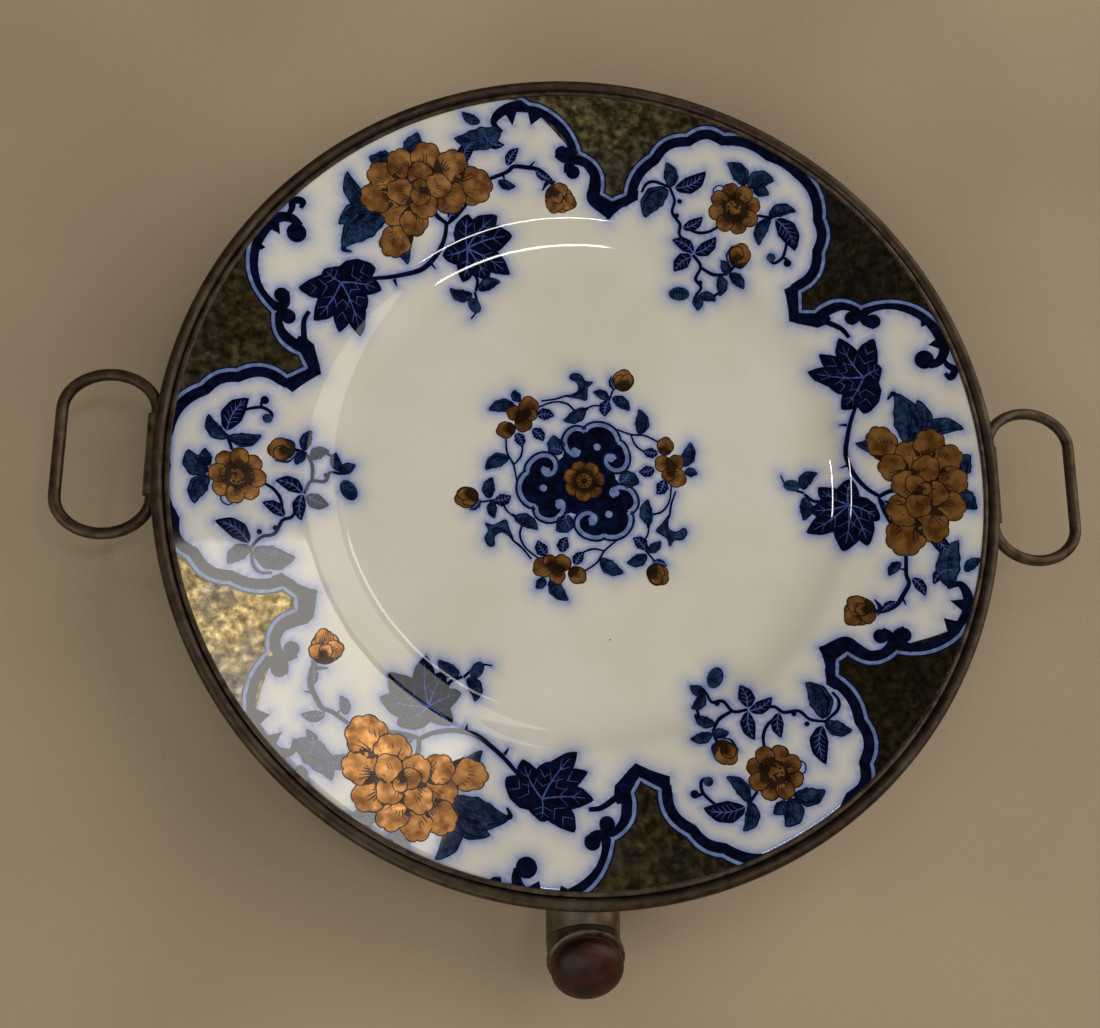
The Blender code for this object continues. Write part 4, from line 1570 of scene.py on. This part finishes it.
@dataclass
class Spout:
    """The elbowed filler spout, its collar and the screw stopper's domed knob."""

    mitre: tuple[float, float, float] = (0.0, -140.0, 17.5)
    rise_deg: float = 50.0
    tube: float = 11.0
    bore: float = 10.1
    stub_inner: float = 106.5
    mouth_end: float = 6.4
    collar: tuple[float, float, float] = (11.5, 6.7, 8.3)
    thread: float = 7.0
    knob_bottom: float = 9.9
    knob_radius: float = 10.6
    knob_straight: float = 1.6
    knob_dome: float = 4.6
    sides: int = 72

    @property
    def axis(self) -> Matrix:
        """The mouth's frame: its Z runs out of the spout."""
        turn = Matrix.Rotation(math.pi / 2 - math.radians(self.rise_deg), 4, "X")
        return Matrix.Translation(self.mitre) @ turn

    def build(self) -> None:
        """Builds the stub, the mouth, the collar and the knob."""
        self.build_tubes()
        radius, low, high = self.collar
        collar = [
            (self.thread, -1), (9.8, -1), (9.8, low), (radius - 0.3, low), (radius, low + 0.3),
            (radius, high - 0.5), (radius - 0.15, high - 0.2), (radius - 0.5, high),
            (self.thread, high),
        ]
        bm = turned(collar, self.sides)
        bmesh.ops.transform(bm, matrix=self.axis, verts=bm.verts)
        finish_piece("spout_collar", bm, SPOUT_BRASS, "vessel", ("mouth_collar",), 50)
        start = self.knob_bottom + self.knob_straight
        dome = [
            (self.knob_radius * math.cos(a) ** 0.72, start + self.knob_dome * math.sin(a))
            for a in np.radians(np.arange(0, 90, 5.0))
        ]
        knob = [
            (9.7, self.knob_bottom), (10.2, self.knob_bottom),
            *arc((10.2, self.knob_bottom + 0.4), 0.4, -60, 0, 3), *dome, (0, start + self.knob_dome),
            (0, 14.6), (3.5, 14.6), (3.5, 11.0), (9.7, 11.0),
        ]
        bm = turned(knob, self.sides)
        bmesh.ops.transform(bm, matrix=self.axis, verts=bm.verts)
        finish_piece("stopper_dome", bm, Vulcanite(), "stopper", ("stopper_knob",), 50)

    def build_tubes(self) -> None:
        """Builds the two tubes, each cut on the mitre."""
        lean = math.tan(math.radians(self.rise_deg / 2))
        middle = Vector(self.mitre)
        tube = turned(
            [(self.tube, -40), (self.tube, 40), (self.bore, 40), (self.bore, -40)],
            self.sides,
        )
        bmesh.ops.rotate(
            tube,
            verts=tube.verts,
            cent=(0, 0, 0),
            matrix=Matrix.Rotation(math.pi / 2, 3, "X"),
        )
        bmesh.ops.translate(tube, verts=tube.verts, vec=middle)
        self.cut_open(tube, (0, -self.stub_inner, 0), (0, 1, 0))
        self.cut_open(tube, middle + Vector((0, 0.15, 0)), (0, -1, lean))
        finish_piece("spout_level_tube", tube, SPOUT_BRASS, "vessel", ("spout_stub",), 50)
        mouth = turned(
            [(self.tube, -20), (self.tube, 20), (self.bore, 20), (self.bore, -20)],
            self.sides,
        )
        self.cut_open(mouth, (0, 0, self.mouth_end), (0, 0, 1))
        self.cut_open(mouth, (0, 0, 0.15), (0, lean, -1))
        bmesh.ops.transform(mouth, matrix=self.axis, verts=mouth.verts)
        finish_piece("spout_rising_tube", mouth, SPOUT_BRASS, "vessel", ("spout_mouth",), 50)

    @staticmethod
    def cut_open(bm: bmesh.types.BMesh, place: Sequence[float], normal: Sequence[float]) -> None:
        """Cuts a tube square or aslant and closes its wall again.

        Args:
            bm: The tube.
            place: A point of the cut.
            normal: Points to the side that goes.
        """
        geom = [*bm.verts, *bm.edges, *bm.faces]
        cut = bmesh.ops.bisect_plane(
            bm,
            geom=geom,
            dist=1e-5,
            plane_co=place,
            plane_no=normal,
            clear_outer=True,
        )
        edges = [g for g in cut["geom_cut"] if isinstance(g, bmesh.types.BMEdge)]
        bmesh.ops.bridge_loops(bm, edges=edges)


class Side(Enum):
    """Which side a handle is on, as the sign of x."""

    RIGHT = 1
    LEFT = -1


@dataclass
class Handle:
    """A closed wire loop on its hinge bar."""

    side: Side
    hinge_radius: float = 131.0
    height: float = 32.8
    wire: float = 1.8
    reach: float = 27.6
    half_length: float = 24.5
    bend: float = 11.3

    def build(self) -> None:
        """Draws a wire round the loop by bridging circles along it."""
        half, straight = self.reach / 2, self.half_length - self.bend
        turn = np.linspace(0, math.pi, 25)
        end = [(half - half * math.cos(a), straight + self.bend * math.sin(a)) for a in turn]
        runs = np.linspace(-straight, straight, 13)[1:-1]
        outer_bar = [(self.reach, y) for y in runs[::-1]]
        loop = [*end, *outer_bar, *((x, -y) for x, y in end[::-1]), *((0, y) for y in runs)]
        path = [Vector((self.side.value * (self.hinge_radius + x), y, self.height)) for x, y in loop]
        bm = bmesh.new()
        rings = []
        for k, here in enumerate(path):
            along = path[(k + 1) % len(path)] - path[k - 1]
            frame = Matrix.Translation(here) @ along.to_track_quat("Z", "X").to_matrix().to_4x4()
            made = bmesh.ops.create_circle(bm, segments=20, radius=self.wire, matrix=frame)
            rings.append({e for v in made["verts"] for e in v.link_edges})
        for near, far in zip(rings, rings[1:] + rings[:1]):
            bmesh.ops.bridge_loops(bm, edges=[*near, *far])
        name = self.side.name.lower()
        finish_piece("loop_" + name, bm, BRASS, name + "_handle", ("handle_" + name,), 50)


@dataclass
class CarriedOver:
    """CAD pieces that keep their shape and get a finish."""

    finishes: dict[str, Finish] = field(
        default_factory=lambda: {
        "wall_strap": BRASS,
        "handle_clip_left": BRASS,
        "handle_clip_right": BRASS,
        "stopper_screw": SPOUT_BRASS,
        "stopper_pin": RUBBED_BRASS,
        "seat_ring": Plain("tinned_sheet", "tinned_sheet", "#8B8A83", "#6A675F", 0.45, 1.0, 4),
        "rim_wire": Plain("iron_wire", "iron_wire", "#4A4440", "#2E2825", 0.6, 0.9, 1),
        "plate_seal": Plain("red_lead_putty", "red_lead_putty", "#A0735A", "#7C553F", 0.9, 0.0, 2),
        "stopper_washer": Plain("leather_washer", "leather_washer", "#4A3424", "#2C1E15", 0.75, 0.0, 0.8),
    },
    )

    def dress(self, nodes: dict[str, bpy.types.Object]) -> None:
        """Puts each finish in its node's material slots.

        Args:
            nodes: The CAD nodes by name.
        """
        for name, finish in self.finishes.items():
            for held in nodes[name].material_slots:
                held.material = finish.material()
            LOG.info("%s: %s", name, finish.name)


# ------------------------------------------------------------------------------- the studio


@dataclass(frozen=True)
class Lamp:
    """One oblong area light that faces the dish.

    Attributes:
        name: Its name.
        ends: The middles of its two short sides, in metres.
        width: Its width in metres.
        radiance: How bright its face looks.
        colour: Its colour.
    """

    name: str
    ends: tuple[tuple[float, float, float], tuple[float, float, float]]
    width: float
    radiance: float
    colour: str = "#FFF9F0"

    def build(self) -> None:
        """Sets the lamp up."""
        first, last = (Vector(end) for end in self.ends)
        middle, along = (first + last) / 2, last - first
        away = middle - along * (middle.dot(along) / along.length_squared)
        x_axis, z_axis = along.normalized(), away.normalized()
        turn = Matrix((x_axis, z_axis.cross(x_axis), z_axis)).transposed().to_4x4()
        data = bpy.data.lights.new(self.name, "AREA")
        data.shape = "RECTANGLE"
        data.size, data.size_y = along.length, self.width
        data.energy = self.radiance * math.pi * along.length * self.width
        data.color = linear(self.colour)[:3]
        made = bpy.data.objects.new(self.name, data)
        made.matrix_world = Matrix.Translation(middle) @ turn
        bpy.context.scene.collection.objects.link(made)


@dataclass
class Studio:
    """A plain cloth floor, soft light and the camera above the dish."""

    lamps: tuple[Lamp, ...] = (
        Lamp("soft_right", ((2.0, -0.7, 1.1), (1.0, 1.8, 1.1)), 1.9, 1.9),
        Lamp("soft_front", ((-1.9, -0.3, 1.2), (0.3, -2.0, 1.2)), 1.5, 1.5),
        Lamp("window_high", ((2.51, 2.51, 6.99), (1.77, 3.45, 6.99)), 0.32, 5.5),
        Lamp("tube_front", ((0.32, -0.27, 2.99), (1.02, -0.01, 2.83)), 0.10, 26),
        Lamp("tube_left", ((-0.85, 0.92, 2.73), (-0.86, 0.63, 2.81)), 0.07, 30),
    )
    ambient: float = 0.025
    floor_half: float = 1.5
    camera_place: tuple[float, float, float] = (-59.93, -107.44, 417.29)
    camera_turn: tuple[float, float, float] = (13.498, -7.130, 0.166)
    lens: float = 42.545

    def build(self) -> None:
        """Lays the floor, sets the lamps and the camera."""
        scene = bpy.context.scene
        bm = bmesh.new()
        bmesh.ops.create_grid(bm, x_segments=2, y_segments=2, size=self.floor_half)
        mesh = bpy.data.meshes.new("floor")
        bmesh.ops.translate(bm, verts=bm.verts, vec=(0, 0, -0.2 * MM))
        bm.to_mesh(mesh)
        bm.free()
        mesh.materials.append(BackdropCloth().material())
        floor = bpy.data.objects.new("floor", mesh)
        scene.collection.objects.link(floor)
        for lamp in self.lamps:
            lamp.build()
        world = bpy.data.worlds.new("studio")
        world.use_nodes = True
        world.node_tree.nodes["Background"].inputs["Color"].default_value = linear("#FFF6EA")
        world.node_tree.nodes["Background"].inputs["Strength"].default_value = self.ambient
        scene.world = world
        data = bpy.data.cameras.new("camera")
        data.lens = self.lens
        data.sensor_width = 36
        data.clip_start = 0.01
        camera = bpy.data.objects.new("camera", data)
        camera.location = [c * MM for c in self.camera_place]
        camera.rotation_euler = [math.radians(a) for a in self.camera_turn]
        scene.collection.objects.link(camera)
        scene.camera = camera
        scene.view_settings.view_transform = "Standard"


def main() -> None:
    """Builds the object and the studio."""
    logging.basicConfig(level=logging.INFO, format="%(name)s %(message)s")
    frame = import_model()
    Dish().build()
    Rim().build()
    Reservoir().build()
    Spout().build()
    for side in Side:
        Handle(side).build()
    CarriedOver().dress(frame["nodes"])
    Studio().build()
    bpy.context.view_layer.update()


if __name__ == "__main__":
    main()
